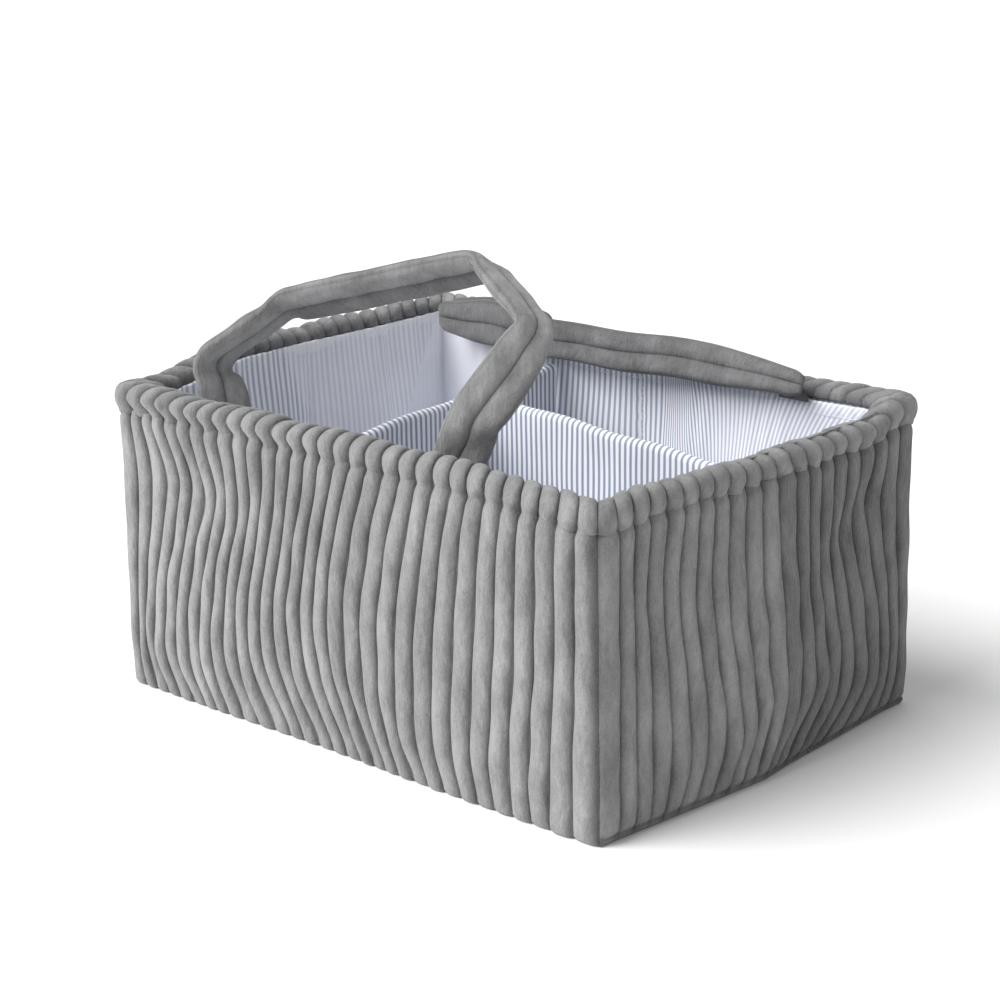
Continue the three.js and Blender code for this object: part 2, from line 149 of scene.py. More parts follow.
# The tones and the UV map spread over the grid of points.
def makeMesh(name, grid, faces, material, uv=None, tones=None, sharp=()):
    mesh = bpy.data.meshes.new(name)
    points = grid.reshape(-1, 3) * 0.001
    mesh.from_pydata(points.tolist(), [], [[int(i) for i in face] for face in faces])
    mesh.materials.append(material)
    for key, values in (tones or {}).items():
        spread = np.broadcast_to(np.asarray(values, np.float32), grid.shape[:-1])
        mesh.attributes.new(key, "FLOAT", "POINT").data.foreach_set("value", spread.ravel())
    if uv is not None:
        vertex = np.empty(len(mesh.loops), np.int32)
        mesh.loops.foreach_get("vertex_index", vertex)
        spread = np.broadcast_to(np.asarray(uv, np.float32), (*grid.shape[:-1], 2))
        mesh.uv_layers.new(name="UVMap").data.foreach_set("uv", spread.reshape(-1, 2)[vertex].ravel())
    shaped = bmesh.new()
    shaped.from_mesh(mesh)
    bmesh.ops.recalc_face_normals(shaped, faces=shaped.faces)
    shaped.to_mesh(mesh)
    shaped.free()
    mesh.shade_smooth()
    for group in sharp:
        group = set(group)
        for edge in mesh.edges:
            edge.use_edge_sharp |= edge.vertices[0] in group and edge.vertices[1] in group
    return addObject(name, mesh)


# A closed body through rings of points, with flat ends.
def loftMesh(name, rings, material, uv=None, tones=None):
    count, around = rings.shape[:2]
    a = np.arange((count - 1) * around).reshape(count - 1, around)
    b = np.roll(a, -1, 1)
    faces = np.stack([a, b, b + around, a + around], -1).reshape(-1, 4).tolist()
    first = list(range(around))
    last = [(count - 1) * around + i for i in first]
    faces += [first[::-1], last]
    return makeMesh(name, rings, faces, material, uv, tones, sharp=(first, last))


# A closed sheet between two grids of points, rows by columns.
def slabMesh(name, back, face, material, uv=None, tones=None):
    rows, columns = back.shape[:2]
    offset = rows * columns
    index = np.arange(offset).reshape(rows, columns)
    faces = [gridFaces(rows, columns), gridFaces(rows, columns, offset)[:, ::-1]]
    faces += [edgeFaces(edge, offset) for edge in (index[0], index[-1], index[:, 0], index[:, -1])]
    return makeMesh(name, np.stack([back, face]), np.concatenate(faces), material, uv, tones)


# Each wall: cosine and sine of its turn, half its length, and how far it stands from the middle.
walls = {
    "front": {"turn": (1, 0), "half": 190, "away": 140},
    "right": {"turn": (0, 1), "half": 140, "away": 190},
    "rear": {"turn": (-1, 0), "half": 190, "away": 140},
    "left": {"turn": (0, -1), "half": 140, "away": 190},
}

# The soft rim has sunk along the right wall and at the near corner, and is drawn up along the left wall.
sink = {
    "right": (6.0, 130, 160),
    "rightGrows": (-150, 0),
    "rightFades": (98, 121),
    "near": (3.5, 190, 70, -140, 55),
    "left": (11.0, 40, 150),
    "leftGrows": (-118, -45),
    "heights": (60, 171),
    "squash": (0.4, 16, 1.1),  # the puffs above sink more: share, over this height, at most
}


def sunk(x, y, height):
    right = ramp(sink["right"], x) * smoothstep(*sink["rightGrows"], y) * (1 - smoothstep(*sink["rightFades"], y))
    left = ramp(sink["left"], -x) * smoothstep(*sink["leftGrows"], y)
    deep = right + bumps([sink["near"]], x, y)
    share, over, most = sink["squash"]
    squash = share * np.clip((height - sink["heights"][1]) / over, 0, most)
    return (deep - left) * smoothstep(*sink["heights"], height) + deep * squash


def onWall(name, along, inset, height):  # a wall's own place to the caddy's
    c, s = walls[name]["turn"]
    out = inset - walls[name]["away"]
    along, out, height = np.broadcast_arrays(along, out, height)
    x, y = along * c - out * s, along * s + out * c
    return np.stack([x, y, height - sunk(x, y, height)], -1)


# The near corner is blunter than the others towards its top.
cornerBend = {"radius": 6, "blunt": 17, "bluntAt": {"front": 1, "right": -1}, "from": 90, "to": 168}


def roundCorner(name, along, inset, height):  # bends a wall's ends round the upright corners
    half, least = walls[name]["half"], cornerBend["radius"]
    blunt = along * cornerBend["bluntAt"].get(name, 0) > 0
    more = (cornerBend["blunt"] - least) * smoothstep(cornerBend["from"], cornerBend["to"], height)
    radius = least + blunt * more
    reach = half - np.abs(along)
    space = np.maximum(radius - inset, 0.01)
    angle = np.pi / 4 * np.clip((radius - reach) / space, 0, 1)
    bent = (inset < radius) & (angle > 0)
    reach = np.where(bent, radius - space * np.sin(angle), reach)
    return np.sign(along) * (half - reach), np.where(bent, radius - space * np.cos(angle), inset)


def addNode(tree, kind, inputs=None, **settings):
    node = tree.nodes.new(kind)
    for key, value in settings.items():
        setattr(node, key, value)
    for key, value in (inputs or {}).items():
        if isinstance(value, bpy.types.NodeSocket):
            tree.links.new(value, node.inputs[key])
        else:
            node.inputs[key].default_value = value
    return node


def mathNode(tree, operation, *values, **settings):
    return addNode(tree, "ShaderNodeMath", dict(enumerate(values)), operation=operation, **settings).outputs[0]


def noiseNode(tree, vector, scale, detail, roughness=0.6):
    inputs = {"Vector": vector, "Scale": scale, "Detail": detail, "Roughness": roughness}
    return addNode(tree, "ShaderNodeTexNoise", inputs).outputs[0]


def attributeNode(tree, name):
    return addNode(tree, "ShaderNodeAttribute", attribute_name=name).outputs["Fac"]


def rangeNode(tree, value, given, wanted, kind="LINEAR"):
    inputs = dict(enumerate((value, *given, *wanted)))
    return addNode(tree, "ShaderNodeMapRange", inputs, interpolation_type=kind).outputs[0]


def mixNode(tree, share, first, second, blend="MIX"):
    inputs = {0: share, 6: first, 7: second}  # the colour sockets of this node
    return addNode(tree, "ShaderNodeMix", inputs, data_type="RGBA", blend_type=blend).outputs[2]


def newMaterial(name, roughness):
    material = bpy.data.materials.new(name)
    material.use_nodes = True
    shader = material.node_tree.nodes["Principled BSDF"]
    shader.inputs["Roughness"].default_value = roughness
    shader.inputs["Specular IOR Level"].default_value = 0.2
    return material, material.node_tree, shader


def addBump(tree, shader, height, strength, distance):
    inputs = {"Height": height, "Strength": strength, "Distance": distance}
    tree.links.new(addNode(tree, "ShaderNodeBump", inputs).outputs[0], shader.inputs["Normal"])


plush = {
    "dark": (0.085, 0.085, 0.084, 1),
    "light": (0.40, 0.40, 0.405, 1),
    "stretch": (1, 1, 0.45),
    # each noise: scale, detail, roughness
    "patches": (60, 2, 0.6),
    "tufts": (330, 3, 0.6),
    "fibres": (1500, 3, 0.75),
    "ragged": (210, 4, 0.7),
    "shares": (0.95, 0.4, 0.75),  # of patches, tufts and fibres in the tone
    "lower": -0.455,
    "groove": 0.5,  # painted shade: tone left in the grooves
    "lean": 0.28,  # painted shade: tone lost on the far flank of a wale, the side turned from the light
    "flank": (1.02, 1.5),
    "pile": (0.75, 0.0016),  # strength and metres of the bump
    "sheen": {"Sheen Weight": 0.35, "Sheen Roughness": 0.5, "Sheen Tint": (0.95, 0.95, 0.96, 1)},
}


def plushMaterial():
    material, tree, shader = newMaterial("plushCorduroy", 1)
    place = addNode(tree, "ShaderNodeTexCoord").outputs["Object"]
    place = addNode(tree, "ShaderNodeMapping", {"Vector": place, "Scale": plush["stretch"]}).outputs[0]
    noises = ("patches", "tufts", "fibres", "ragged")
    patches, tufts, fibres, ragged = (noiseNode(tree, place, *plush[key]) for key in noises)
    patchy, tufted, fibrous = plush["shares"]
    tone = mathNode(tree, "MULTIPLY_ADD", patches, patchy, plush["lower"])
    tone = mathNode(tree, "MULTIPLY_ADD", tufts, tufted, tone)
    tone = mathNode(tree, "MULTIPLY_ADD", fibres, fibrous, tone, use_clamp=True)
    grey = mixNode(tree, tone, plush["dark"], plush["light"])
    # painted shade: the base colour is darkened in the grooves, by each piece's painted light and shade, and on
    # the far flank of each wale
    valley = attributeNode(tree, "valley")
    shade = mathNode(tree, "MULTIPLY_ADD", valley, 1 - plush["groove"], plush["groove"])
    shade = mathNode(tree, "MULTIPLY", shade, attributeNode(tree, "napLightAndShade"))
    flankShade = mathNode(tree, "MULTIPLY_ADD", ragged, 1.1, attributeNode(tree, "flank"))  # across one wale, 0 to 1; painted shade on the far flank
    flankShade = rangeNode(tree, flankShade, plush["flank"], (1.0, 1 - plush["lean"]), "SMOOTHSTEP")
    shade = mathNode(tree, "MULTIPLY", shade, flankShade)
    tree.links.new(mixNode(tree, 1, grey, shade, "MULTIPLY"), shader.inputs["Base Color"])
    addBump(tree, shader, mathNode(tree, "MULTIPLY_ADD", fibres, 0.5, tufts), *plush["pile"])
    for label, value in plush["sheen"].items():
        shader.inputs[label].default_value = value
    return material


stripes = {
    "pitch": 4.7,
    "share": 0.45,
    "soft": 0.08,
    "white": (0.91, 0.92, 0.975, 1),
    "line": (0.3, 0.34, 0.43, 1),
    "soil": (18, 3),
    "weave": (1500, 2),
}


def stripedMaterial():  # the UV map runs across the stripes, one unit to 100 mm
    material, tree, shader = newMaterial("stripedCotton", 0.9)
    place = addNode(tree, "ShaderNodeTexCoord").outputs
    across = addNode(tree, "ShaderNodeSeparateXYZ", {0: place["UV"]}).outputs[0]
    wave = mathNode(tree, "PINGPONG", mathNode(tree, "MULTIPLY", across, 100 / stripes["pitch"]), 0.5)
    middle, soft = stripes["share"] / 2, stripes["soft"]
    line = rangeNode(tree, wave, (middle - soft, middle + soft), (1.0, 0.0), "SMOOTHSTEP")
    printed = mathNode(tree, "SUBTRACT", 1.0, attributeNode(tree, "paleAndLit"))  # less where the print is pale, mostly painted light washing it out
    cloth = mixNode(tree, mathNode(tree, "MULTIPLY", line, printed), stripes["white"], stripes["line"])
    soil = rangeNode(tree, noiseNode(tree, place["Object"], *stripes["soil"]), (0.3, 0.7), (0.93, 1.03))
    tree.links.new(mixNode(tree, 1, cloth, soil, "MULTIPLY"), shader.inputs["Base Color"])
    addBump(tree, shader, noiseNode(tree, place["Object"], *stripes["weave"]), 0.25, 0.0004)
    return material


def plainMaterial(name, color, roughness, grain, depth):
    material, tree, shader = newMaterial(name, roughness)
    shader.inputs["Base Color"].default_value = (*color, 1)
    place = addNode(tree, "ShaderNodeTexCoord").outputs["Object"]
    addBump(tree, shader, noiseNode(tree, place, grain, 3), 0.4, depth)
    return material


corduroyFinish = plushMaterial()
cottonFinish = stripedMaterial()
foamFinish = plainMaterial("feltedFoam", (0.72, 0.71, 0.67), 0.95, 400, 0.0005)
boardFinish = plainMaterial("stiffBoard", (0.42, 0.38, 0.32), 0.85, 250, 0.0002)
threadFinish = plainMaterial("greyThread", (0.15, 0.15, 0.15), 0.8, 2500, 0.0001)
whiteThreadFinish = plainMaterial("whiteThread", (0.75, 0.77, 0.8), 0.8, 2500, 0.0001)
floorFinish = plainMaterial("paleFloor", (0.93, 0.93, 0.93), 0.9, 60, 0.00002)

# Rows of stitches are beads of thread laid along lines: spacing, length and thickness.
stitch = {"corduroy": (3.6, 2.9, 0.8), "cotton": (3.2, 2.5, 0.5), "stray": 0.25, "seed": 5}


def stitchTree():
    tree = bpy.data.node_groups.new("stitchRows", "GeometryNodeTree")
    sockets = tree.interface
    sockets.new_socket("Rows", in_out="INPUT", socket_type="NodeSocketGeometry")
    for label in ("Spacing", "Length", "Thread", "Stray"):
        sockets.new_socket(label, in_out="INPUT", socket_type="NodeSocketFloat")
    sockets.new_socket("Finish", in_out="INPUT", socket_type="NodeSocketMaterial")
    sockets.new_socket("Stitches", in_out="OUTPUT", socket_type="NodeSocketGeometry")
    given = addNode(tree, "NodeGroupInput").outputs
    line = addNode(tree, "GeometryNodeMeshToCurve", {"Mesh": given["Rows"]}).outputs[0]
    inputs = {"Curve": line, "Length": given["Spacing"]}
    spaced = addNode(tree, "GeometryNodeResampleCurve", inputs, mode="LENGTH").outputs[0]
    along = addNode(tree, "GeometryNodeInputTangent").outputs[0]
    turn = addNode(tree, "FunctionNodeAlignRotationToVector", {"Vector": along}, axis="Z").outputs[0]
    bead = addNode(tree, "GeometryNodeMeshUVSphere", {"Segments": 6, "Rings": 4, "Radius": 0.5}).outputs[0]
    less = mathNode(tree, "SUBTRACT", 1.0, given["Stray"])
    inputs = {2: less, 3: 1.0, "Seed": stitch["seed"]}  # least and most of a random number
    share = addNode(tree, "FunctionNodeRandomValue", inputs, data_type="FLOAT").outputs[1]
    length = mathNode(tree, "MULTIPLY", given["Length"], share)
    inputs = {"X": given["Thread"], "Y": given["Thread"], "Z": length}
    size = addNode(tree, "ShaderNodeCombineXYZ", inputs).outputs[0]
    inputs = {"Points": spaced, "Instance": bead, "Rotation": turn, "Scale": size}
    placed = addNode(tree, "GeometryNodeInstanceOnPoints", inputs).outputs[0]
    real = addNode(tree, "GeometryNodeRealizeInstances", {"Geometry": placed}).outputs[0]
    inputs = {"Geometry": real, "Material": given["Finish"]}
    addNode(tree, "NodeGroupOutput", {0: addNode(tree, "GeometryNodeSetMaterial", inputs).outputs[0]})
    return tree


stitchNodes = stitchTree()


def stitchRows(name, rows, finish, sizes):
    points, edges = [], []
    for row in rows:
        edges += [(len(points) + i, len(points) + i + 1) for i in range(len(row) - 1)]
        points += (np.asarray(row) / 1000).tolist()
    lines = bpy.data.meshes.new(name + "Lines")
    lines.from_pydata(points, edges, [])
    holder = addObject(name + "Lines", lines)
    modifier = holder.modifiers.new("stitches", "NODES")
    modifier.node_group = stitchNodes
    given = dict(zip(("Spacing", "Length", "Thread"), (size / 1000 for size in sizes)))
    given.update({"Stray": stitch["stray"], "Finish": finish})
    for socket in stitchNodes.interface.items_tree:
        if socket.in_out == "INPUT" and socket.name in given:
            modifier[socket.identifier] = given[socket.name]
    bpy.context.view_layer.update()
    graph = bpy.context.evaluated_depsgraph_get()
    sewn = bpy.data.meshes.new_from_object(holder.evaluated_get(graph))
    sewn.name = name
    bpy.data.objects.remove(holder)
    piece = addObject(name, sewn)
    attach(piece, "body")


for nodeName, node in frame["nodes"].items():  # boards that stay as they are, inside the covers
    if nodeName.endswith(("base_board", "cross_board", "long_board")):
        node.data.materials.clear()
        node.data.materials.append(boardFinish)
print("finishes made")


# Outer walls of upright wales, which lean and bunch as the soft cloth sits.
panel = {
    "wales": {"front": 31, "right": 21, "rear": 31, "left": 21},
    "steps": 8,
    "groove": 5.9,  # inset of the grooves between the wales
    "rise": 4.5,
    "round": 0.56,  # below 1 gives broad wales and narrow grooves
    "endGroove": (0.7, 0.8),  # shallower at a wall's ends: share of the depth, over how many wales
    "back": 10,
    "backColumns": 40,
    "gap": 0.05,
    "tall": 167,
    "finer": (0.4, 9, 150),  # lowest row, and the heights below and above which the rows lie closer
    "waver": (0.7, 3.1, 46),
    "plump": (0.13, 2.3, 38),
    "mottle": (0.05, 90, 80),
    "pinch": {"at": 171.4, "tall": 3.4, "deep": 0.5, "flat": 0.16, "neck": 1.7, "dark": 0.12},  # sewn to the rim; dark is painted shade in the pinched seam
    "tuck": (8.4, 0.3, 2.8),  # inset inside the binding, reached between these heights above the sewn line
    "hem": {"front": 0.15, "right": 1.0, "rear": 0.4, "left": 0.4},  # how much of the turned edge shows below
    # dark: painted shade in the hem line's crease, and on the flattened foot by the floor
    "hemLine": {"at": 4.4, "tall": 1.5, "deep": 1.1, "dark": 0.4},
    "hemFlat": {"from": 2.5, "to": 9, "out": 2.4, "dark": 0.3},
    "under": (2.2, 4),  # turned in at the floor: how far, from which height
    "levels": [6, 16, 28, 42, 60, 80, 100, 120, 135, 150, 168],
    # counted grooves and where they run along the wall at these levels
    "grooves": {
        "front": {
            3: [-154, -161, -165, -163, -160, -156, -150, -146, -144, -148, -157],
            6: [-119, -128, -132, -132, -129, -125, -119, -113, -111, -115, -124],
            8: [-100, -107, -112, -112, -109, -105, -100, -93, -91, -94, -99],
            12: [-47, -55, -63, -69, -70, -67, -61, -56, -52, -50, -48],
            17: [11, 5, -2, -9, -11, -12, -9, -5, -2, 4, 9],
            21: [52, 45, 42, 41, 42, 43, 45, 49, 52, 55, 60],
            26: [113, 111, 110, 111, 113, 115, 116, 117, 117, 118, 121],
            29: [152, 152, 152, 153, 154, 156, 157, 157, 157, 157, 157],
        },
        "right": {
            1: [-122, -121, -121, -120, -120, -120, -120, -120, -120, -120, -120],
            3: [-100, -98, -97, -97, -98, -99, -100, -101, -101, -100, -96],
            5: [-79, -74, -70, -69, -71, -74, -77, -78, -76, -72, -68],
            8: [-40, -35, -28, -28, -32, -37, -40, -39, -37, -34, -32],
            11: [-9, -4, 3, 8, 6, 5, 4, 5, 7, 9, 10],
            12: [-1, 6, 18, 24, 23, 20, 20, 22, 24, 26, 27],
            14: [22, 36, 49, 51, 48, 43, 39, 41, 44, 47, 48],
            16: [46, 66, 77, 78, 74, 70, 65, 64, 67, 71, 72],
            18: [88, 100, 106, 106, 104, 100, 93, 90, 88, 96, 99],
        },
    },
    "copies": {"rear": ("front", 0.4), "left": ("right", 0.5)},  # unseen walls lean the other way, and less
    # soft swells and dents outward: amount, place along, spread, place down from the rim (0 to 1), spread
    "swell": {
        "front": [
            (2.2, 70, 80, 0.5, 0.4), (-2.5, -10, 60, 0.8, 0.25),
            (1.6, -120, 50, 0.55, 0.3), (-1.4, -130, 40, 0.2, 0.1),
        ],
        "right": [
            (1.8, -60, 40, 0.5, 0.35), (-3.0, 92, 13, 0.15, 0.08),
            (-3.4, 72, 13, 0.27, 0.09), (-2.5, 45, 30, 0.88, 0.12),
        ],
        "rear": [(2.4, 0, 100, 0.5, 0.4), (-2.0, 90, 40, 0.75, 0.2)],
        "left": [(1.6, -40, 50, 0.5, 0.4)],
    },
    # upright crease where a short wall folds: groove, how far out, and painted shade beyond it
    "fold": {"right": (11, 10, 0.64), "left": (10, 6, 0.85)},
    # darker and lighter strokes, placed as the swells are: blotches in the nap, and painted light that brightens
    # the front wall towards its left end
    "strokes": {
        "front": [
            (-0.24, -45, 34, 0.1, 0.1), (-0.16, 5, 26, 0.2, 0.14), (-0.1, 150, 30, 0.25, 0.2),
            (-0.12, 20, 60, 0.95, 0.12), (0.13, -110, 60, 0.5, 0.4), (0.13, -165, 45, 0.4, 0.45),
        ],
        "right": [(-0.12, -100, 22, 0.3, 0.3), (-0.1, -20, 30, 0.1, 0.1), (0.06, -40, 40, 0.7, 0.3)],
        "rear": [(-0.2, 60, 40, 0.15, 0.15), (0.1, -60, 60, 0.6, 0.3)],
        "left": [(-0.15, 30, 40, 0.2, 0.2)],
    },
    # painted shade: each wall's tone, darker than the front and darkest on the right wall, which is turned from
    # the light
    "shade": {"front": 1.0, "right": 0.9, "rear": 0.95, "left": 0.95},
}


def soften(grid, reach, axis):  # running mean with soft ends
    kernel = bell(np.arange(-2 * reach, 2 * reach + 1), reach)
    padding = [(2 * reach, 2 * reach) if k == axis else (0, 0) for k in range(grid.ndim)]
    padded = np.pad(grid, padding, mode="edge")
    return np.apply_along_axis(lambda row: np.convolve(row, kernel / kernel.sum(), "valid"), axis, padded)


def panelEnd(name):
    return walls[name]["half"] - panel["groove"] - panel["gap"]


def straightGroove(name, count):
    return panelEnd(name) * (2 * count / panel["wales"][name] - 1)


# How far the cloth has moved along the wall, at a place counted in wales and a height.
def waleDrift(name, place, height):
    source, sway = panel["copies"].get(name, (name, 1))
    wales, table = panel["wales"][name], panel["grooves"][source]
    fineZ = np.arange(0, 190, 2.0)
    finePlace = np.linspace(0, wales, 4 * wales + 1)
    still = 0 * fineZ  # the wall's ends stay in place
    moved = [np.array(row) - straightGroove(source, groove) for groove, row in table.items()]
    rows = np.array([still, *(np.interp(fineZ, panel["levels"], row) for row in moved), still])
    grid = np.array([np.interp(finePlace, [0, *table, wales], row) for row in rows.T])
    grid = soften(soften(grid, 3, 0), 3, 1)
    if source != name:
        grid = -sway * grid[:, ::-1]
    atPlace = np.array([np.interp(place, finePlace, row) for row in grid])
    return np.array([np.interp(height, fineZ, column) for column in atPlace.T]).T


def outerPanel(name, seed):
    half, end, wales = walls[name]["half"], panelEnd(name), panel["wales"][name]
    place, crest, which = ridges(wales, panel["steps"], panel["round"])
    least, over = panel["endGroove"]
    crest = 1 - (1 - crest) * rising(least, 0, over, np.minimum(place, wales - place))
    lowest, foot, neck = panel["finer"]
    high = boxOf(f"{name}_outer_panel")[1][2]
    rows = np.linspace(lowest, foot, 15), np.linspace(foot, neck, 60), np.linspace(neck, high - 1, 26)
    height = np.unique(np.concatenate(rows))
    z = height[:, None]
    down = np.clip(1 - z / panel["tall"], 0, 1)
    a = straightGroove(name, place)[None, :]
    fade = 1 - (a / end) ** 6
    along = a + waleDrift(name, place, height) + uneven(panel["waver"], seed, which[None, :], z) * fade

    # where the cloth is pinched, hemmed and tucked in
    pinched, hemmed, flattened = panel["pinch"], panel["hemLine"], panel["hemFlat"]
    pinch = bell(z - pinched["at"], pinched["tall"])
    hemLine = panel["hem"][name] * bell(z - hemmed["at"], hemmed["tall"])
    flat = panel["hem"][name] * (1 - smoothstep(flattened["from"], flattened["to"], z))
    tuckInset, tuckFrom, tuckTo = panel["tuck"]
    inside = smoothstep(tuckFrom, tuckTo, z - pinched["at"])
    plump = 1 + uneven(panel["plump"], seed + 1, which[None, :], z)
    rise = panel["rise"] * plump * (1 - pinched["flat"] * pinch) * (1 - flat) * (1 - inside)
    out = bumps(panel["swell"][name], a, down) * fade
    # painted shade past the fold, on the part of the wall turned from the light
    shadeBeyondFold = 1
    if name in panel["fold"]:
        foldGroove, foldOut, past = panel["fold"][name]
        foldAt = straightGroove(name, foldGroove) + waleDrift(name, np.array([foldGroove]), height)
        ridge = np.clip(1 - np.abs(along - foldAt) / (end - np.abs(foldAt)), 0, 1)
        out = out + foldOut * ridge * smoothstep(0, 0.5, down)
        shadeBeyondFold = 1 - (1 - past) * smoothstep(-0.5, 3.5, along - foldAt)
    necked = crest ** (1 + pinched["neck"] * pinch)
    inset = panel["groove"] - rise * necked - out * smoothstep(0, 0.12, down)
    inset = inset + pinched["deep"] * pinch + hemmed["deep"] * hemLine - flattened["out"] * flat
    turnedIn, turnedFrom = panel["under"]
    inset = inset + turnedIn * np.clip(1 - z / turnedFrom, 0, 1) ** 2
    inset = inset * (1 - inside) + tuckInset * inside

    reach = half - inset - panel["gap"]
    along = np.clip(along, -reach, reach)
    along[:, 0], along[:, -1] = -reach[:, 0], reach[:, -1]
    along, inset = roundCorner(name, along, inset, z)
    backEnd = half - panel["back"] - 0.3
    back = np.linspace(backEnd, -backEnd, panel["backColumns"])[None, :]
    rings = np.concatenate([onWall(name, along, inset, z), onWall(name, back, panel["back"], z)], 1)
    # painted shade: darker in the grooves, in the pinched seam under the rim and in the hem line
    valley = necked * (1 - pinched["dark"] * pinch) * (1 - hemmed["dark"] * hemLine)
    # the nap's mottle and strokes, times each wall's painted shade, the painted shade past the fold and at the
    # flattened foot
    napLightAndShade = 1 + uneven(panel["mottle"], seed + 2, a, z) + bumps(panel["strokes"][name], a, down)
    napLightAndShade = panel["shade"][name] * napLightAndShade * shadeBeyondFold * (1 - flattened["dark"] * flat)
    tones = {"valley": valley, "napLightAndShade": napLightAndShade, "flank": place - which}
    behind = ((0, 0), (0, panel["backColumns"]))
    tones = {key: np.pad(np.broadcast_to(values, along.shape), behind) for key, values in tones.items()}
    piece = loftMesh(f"{name}CorduroyWall", rings, corduroyFinish, tones=tones)
    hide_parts(f"{name}_outer_panel")
    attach(piece, "body")


# Rim binding, a row of puffs.
binding = {
    "puffs": {"front": 30, "right": 21, "rear": 30, "left": 21},
    "steps": 8,
    "puff": 3.6,
    "round": 0.75,
    "endGroove": (0.55, 0.3, 1.5),  # shallower at the corners: share of the depth, from and to how many puffs
    "cornerOut": (1.5, 0, 1.6),  # swells out at the corners
    "cornerFlat": (0.25, 0, 1.3),
    "plump": (0.17, 1.7, 2.9),
    "waver": (0.6, 4.3, 40),
    "wavy": (0.8, 2.2, 172, 184),  # top edge: amount, waves, between these heights
    "foot": 171.4,
    "meets": 179,  # grooves run on from the wall's up to this height
    "top": 187,
    "neck": (3.2, 1.6),  # narrow at the seam: over this height, by this power
    # the skin between two puffs, from the outer foot over to the inner one: inset, height, share of the swelling
    "skin": [
        (6.3, 169.7, 0.92), (6.0, 171.0, 0.94), (5.75, 172.5, 0.97), (5.3, 174.4, 1), (4.9, 176.3, 1),
        (4.8, 178.2, 1), (5.0, 179.9, 1), (5.5, 181.3, 1), (6.4, 182.4, 1), (7.7, 183.1, 1), (9.3, 183.4, 1),
        (11.1, 183.3, 0.97), (12.9, 183.0, 0.92), (14.5, 182.6, 0.86), (15.9, 182.0, 0.8),
        (16.9, 180.7, 0.72), (17.5, 179.0, 0.55), (17.6, 177.0, 0.2),
    ],
    "channel": [(17.2, 177.0), (17.2, 180), (15.4, 182.1), (8.4, 182.1), (7.2, 180), (7.2, 175), (7.9, 170.3)],
    "sway": {"front": -1.9, "right": 0.6, "rear": -1.2, "left": 0.6},  # sideways curve of the puffs
    # painted shade: each side of the rim is darker than the front
    "shade": {"front": 1.0, "right": 0.92, "rear": 0.9, "left": 0.9},
    "stitchIn": (0.4, 0.2),  # rim seam from the skin's foot: further in, and up
}


def bindingSection():  # rows: inset, height, swelling inward and upward, share of it, neck, 1 on the skin
    skin = np.array(binding["skin"])
    run = np.gradient(skin[:, :2], axis=0)
    run /= np.linalg.norm(run, axis=1)[:, None]
    neck = bell(skin[:, 1] - binding["foot"], binding["neck"][0]) * (skin[:, 0] < 9)
    skin = np.column_stack([skin[:, :2], -run[:, 1], run[:, 0], skin[:, 2], neck, np.ones(len(skin))])
    channel = np.pad(np.array(binding["channel"]), ((0, 0), (0, 5)))
    return np.concatenate([skin, channel]).T[:, None, :]


def rimBinding(name, seed):
    inset, height, inward, upward, share, neck, onSkin = bindingSection()
    puffs, wales = binding["puffs"][name], panel["wales"][name]
    place, crest, which = ridges(puffs, binding["steps"], binding["round"])
    fromCorner = np.minimum(place, puffs - place)[:, None]
    crest = 1 - (1 - crest[:, None]) * rising(*binding["endGroove"], fromCorner)
    crest = crest ** (1 + binding["neck"][1] * neck)
    side = (2 * place / puffs - 1)[:, None]
    plump = 1 + uneven(binding["plump"], seed, which, which)[:, None]
    plump = plump * (1 - hump(binding["cornerFlat"], fromCorner))
    swell = binding["puff"] * crest * plump * share
    swell = swell + hump(binding["cornerOut"], fromCorner) * share * (inward < 0)
    inset, height = inset + inward * swell, height + upward * swell
    amount, waves, low, high = binding["wavy"]
    height = height + amount * ripple(seed + 1, side * waves) * smoothstep(low, high, height)
    along = side * (walls[name]["half"] - inset - panel["gap"])

    # the puffs curve sideways, and their grooves run on from the wall's
    wale = np.interp(place, [0, 2, puffs], [0, 2 + wales - puffs, wales])
    meets = straightGroove(name, wale) + waleDrift(name, wale, panel["levels"][-1:])[0]
    drift = binding["sway"][name] * np.sin(np.pi * smoothstep(binding["foot"], binding["top"], height))
    drift = drift + uneven(binding["waver"], seed + 2, which[:, None], height)
    drift = drift + (meets[:, None] - along) * (1 - smoothstep(binding["foot"], binding["meets"], height))
    along = along + onSkin * drift * (1 - np.abs(side) ** 10)
    bentAlong, bentInset = roundCorner(name, along, inset, height)
    rings = onWall(name, np.where(onSkin, bentAlong, along), np.where(onSkin, bentInset, inset), height)
    # painted shade: darker in the grooves between the puffs and down the rim's inner side, times each side's
    # painted shade
    napLightAndShade = binding["shade"][name] * (0.97 + 0.07 * ripple(seed + 3, side * 5))
    tones = {"valley": crest * (0.35 + 0.65 * share), "napLightAndShade": napLightAndShade, "flank": (place - which)[:, None]}
    piece = loftMesh(f"{name}RimBinding", rings, corduroyFinish, tones=tones)
    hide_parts(f"{name}_rim_binding")
    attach(piece, "body")
    further, up = binding["stitchIn"]
    return onWall(name, bentAlong[:, 0], bentInset[:, 0] + further, height[:, 0] + up)


# Foam in the walls, which follows the rim.
board = {"outer": 10.3, "inner": 15.3}


def foamBoard(name):
    low, high = boxOf(f"{name}_wall_board")
    half = max((high - low)[:2]) / 2
    a = np.linspace(-half, half, 60)[None, :]
    z = np.linspace(low[2], high[2], 30)[:, None]
    back, face = onWall(name, a, board["inner"], z), onWall(name, a, board["outer"], z)
    piece = slabMesh(f"{name}FoamBoard", back, face, foamFinish)
    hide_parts(f"{name}_wall_board")
    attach(piece, "body")


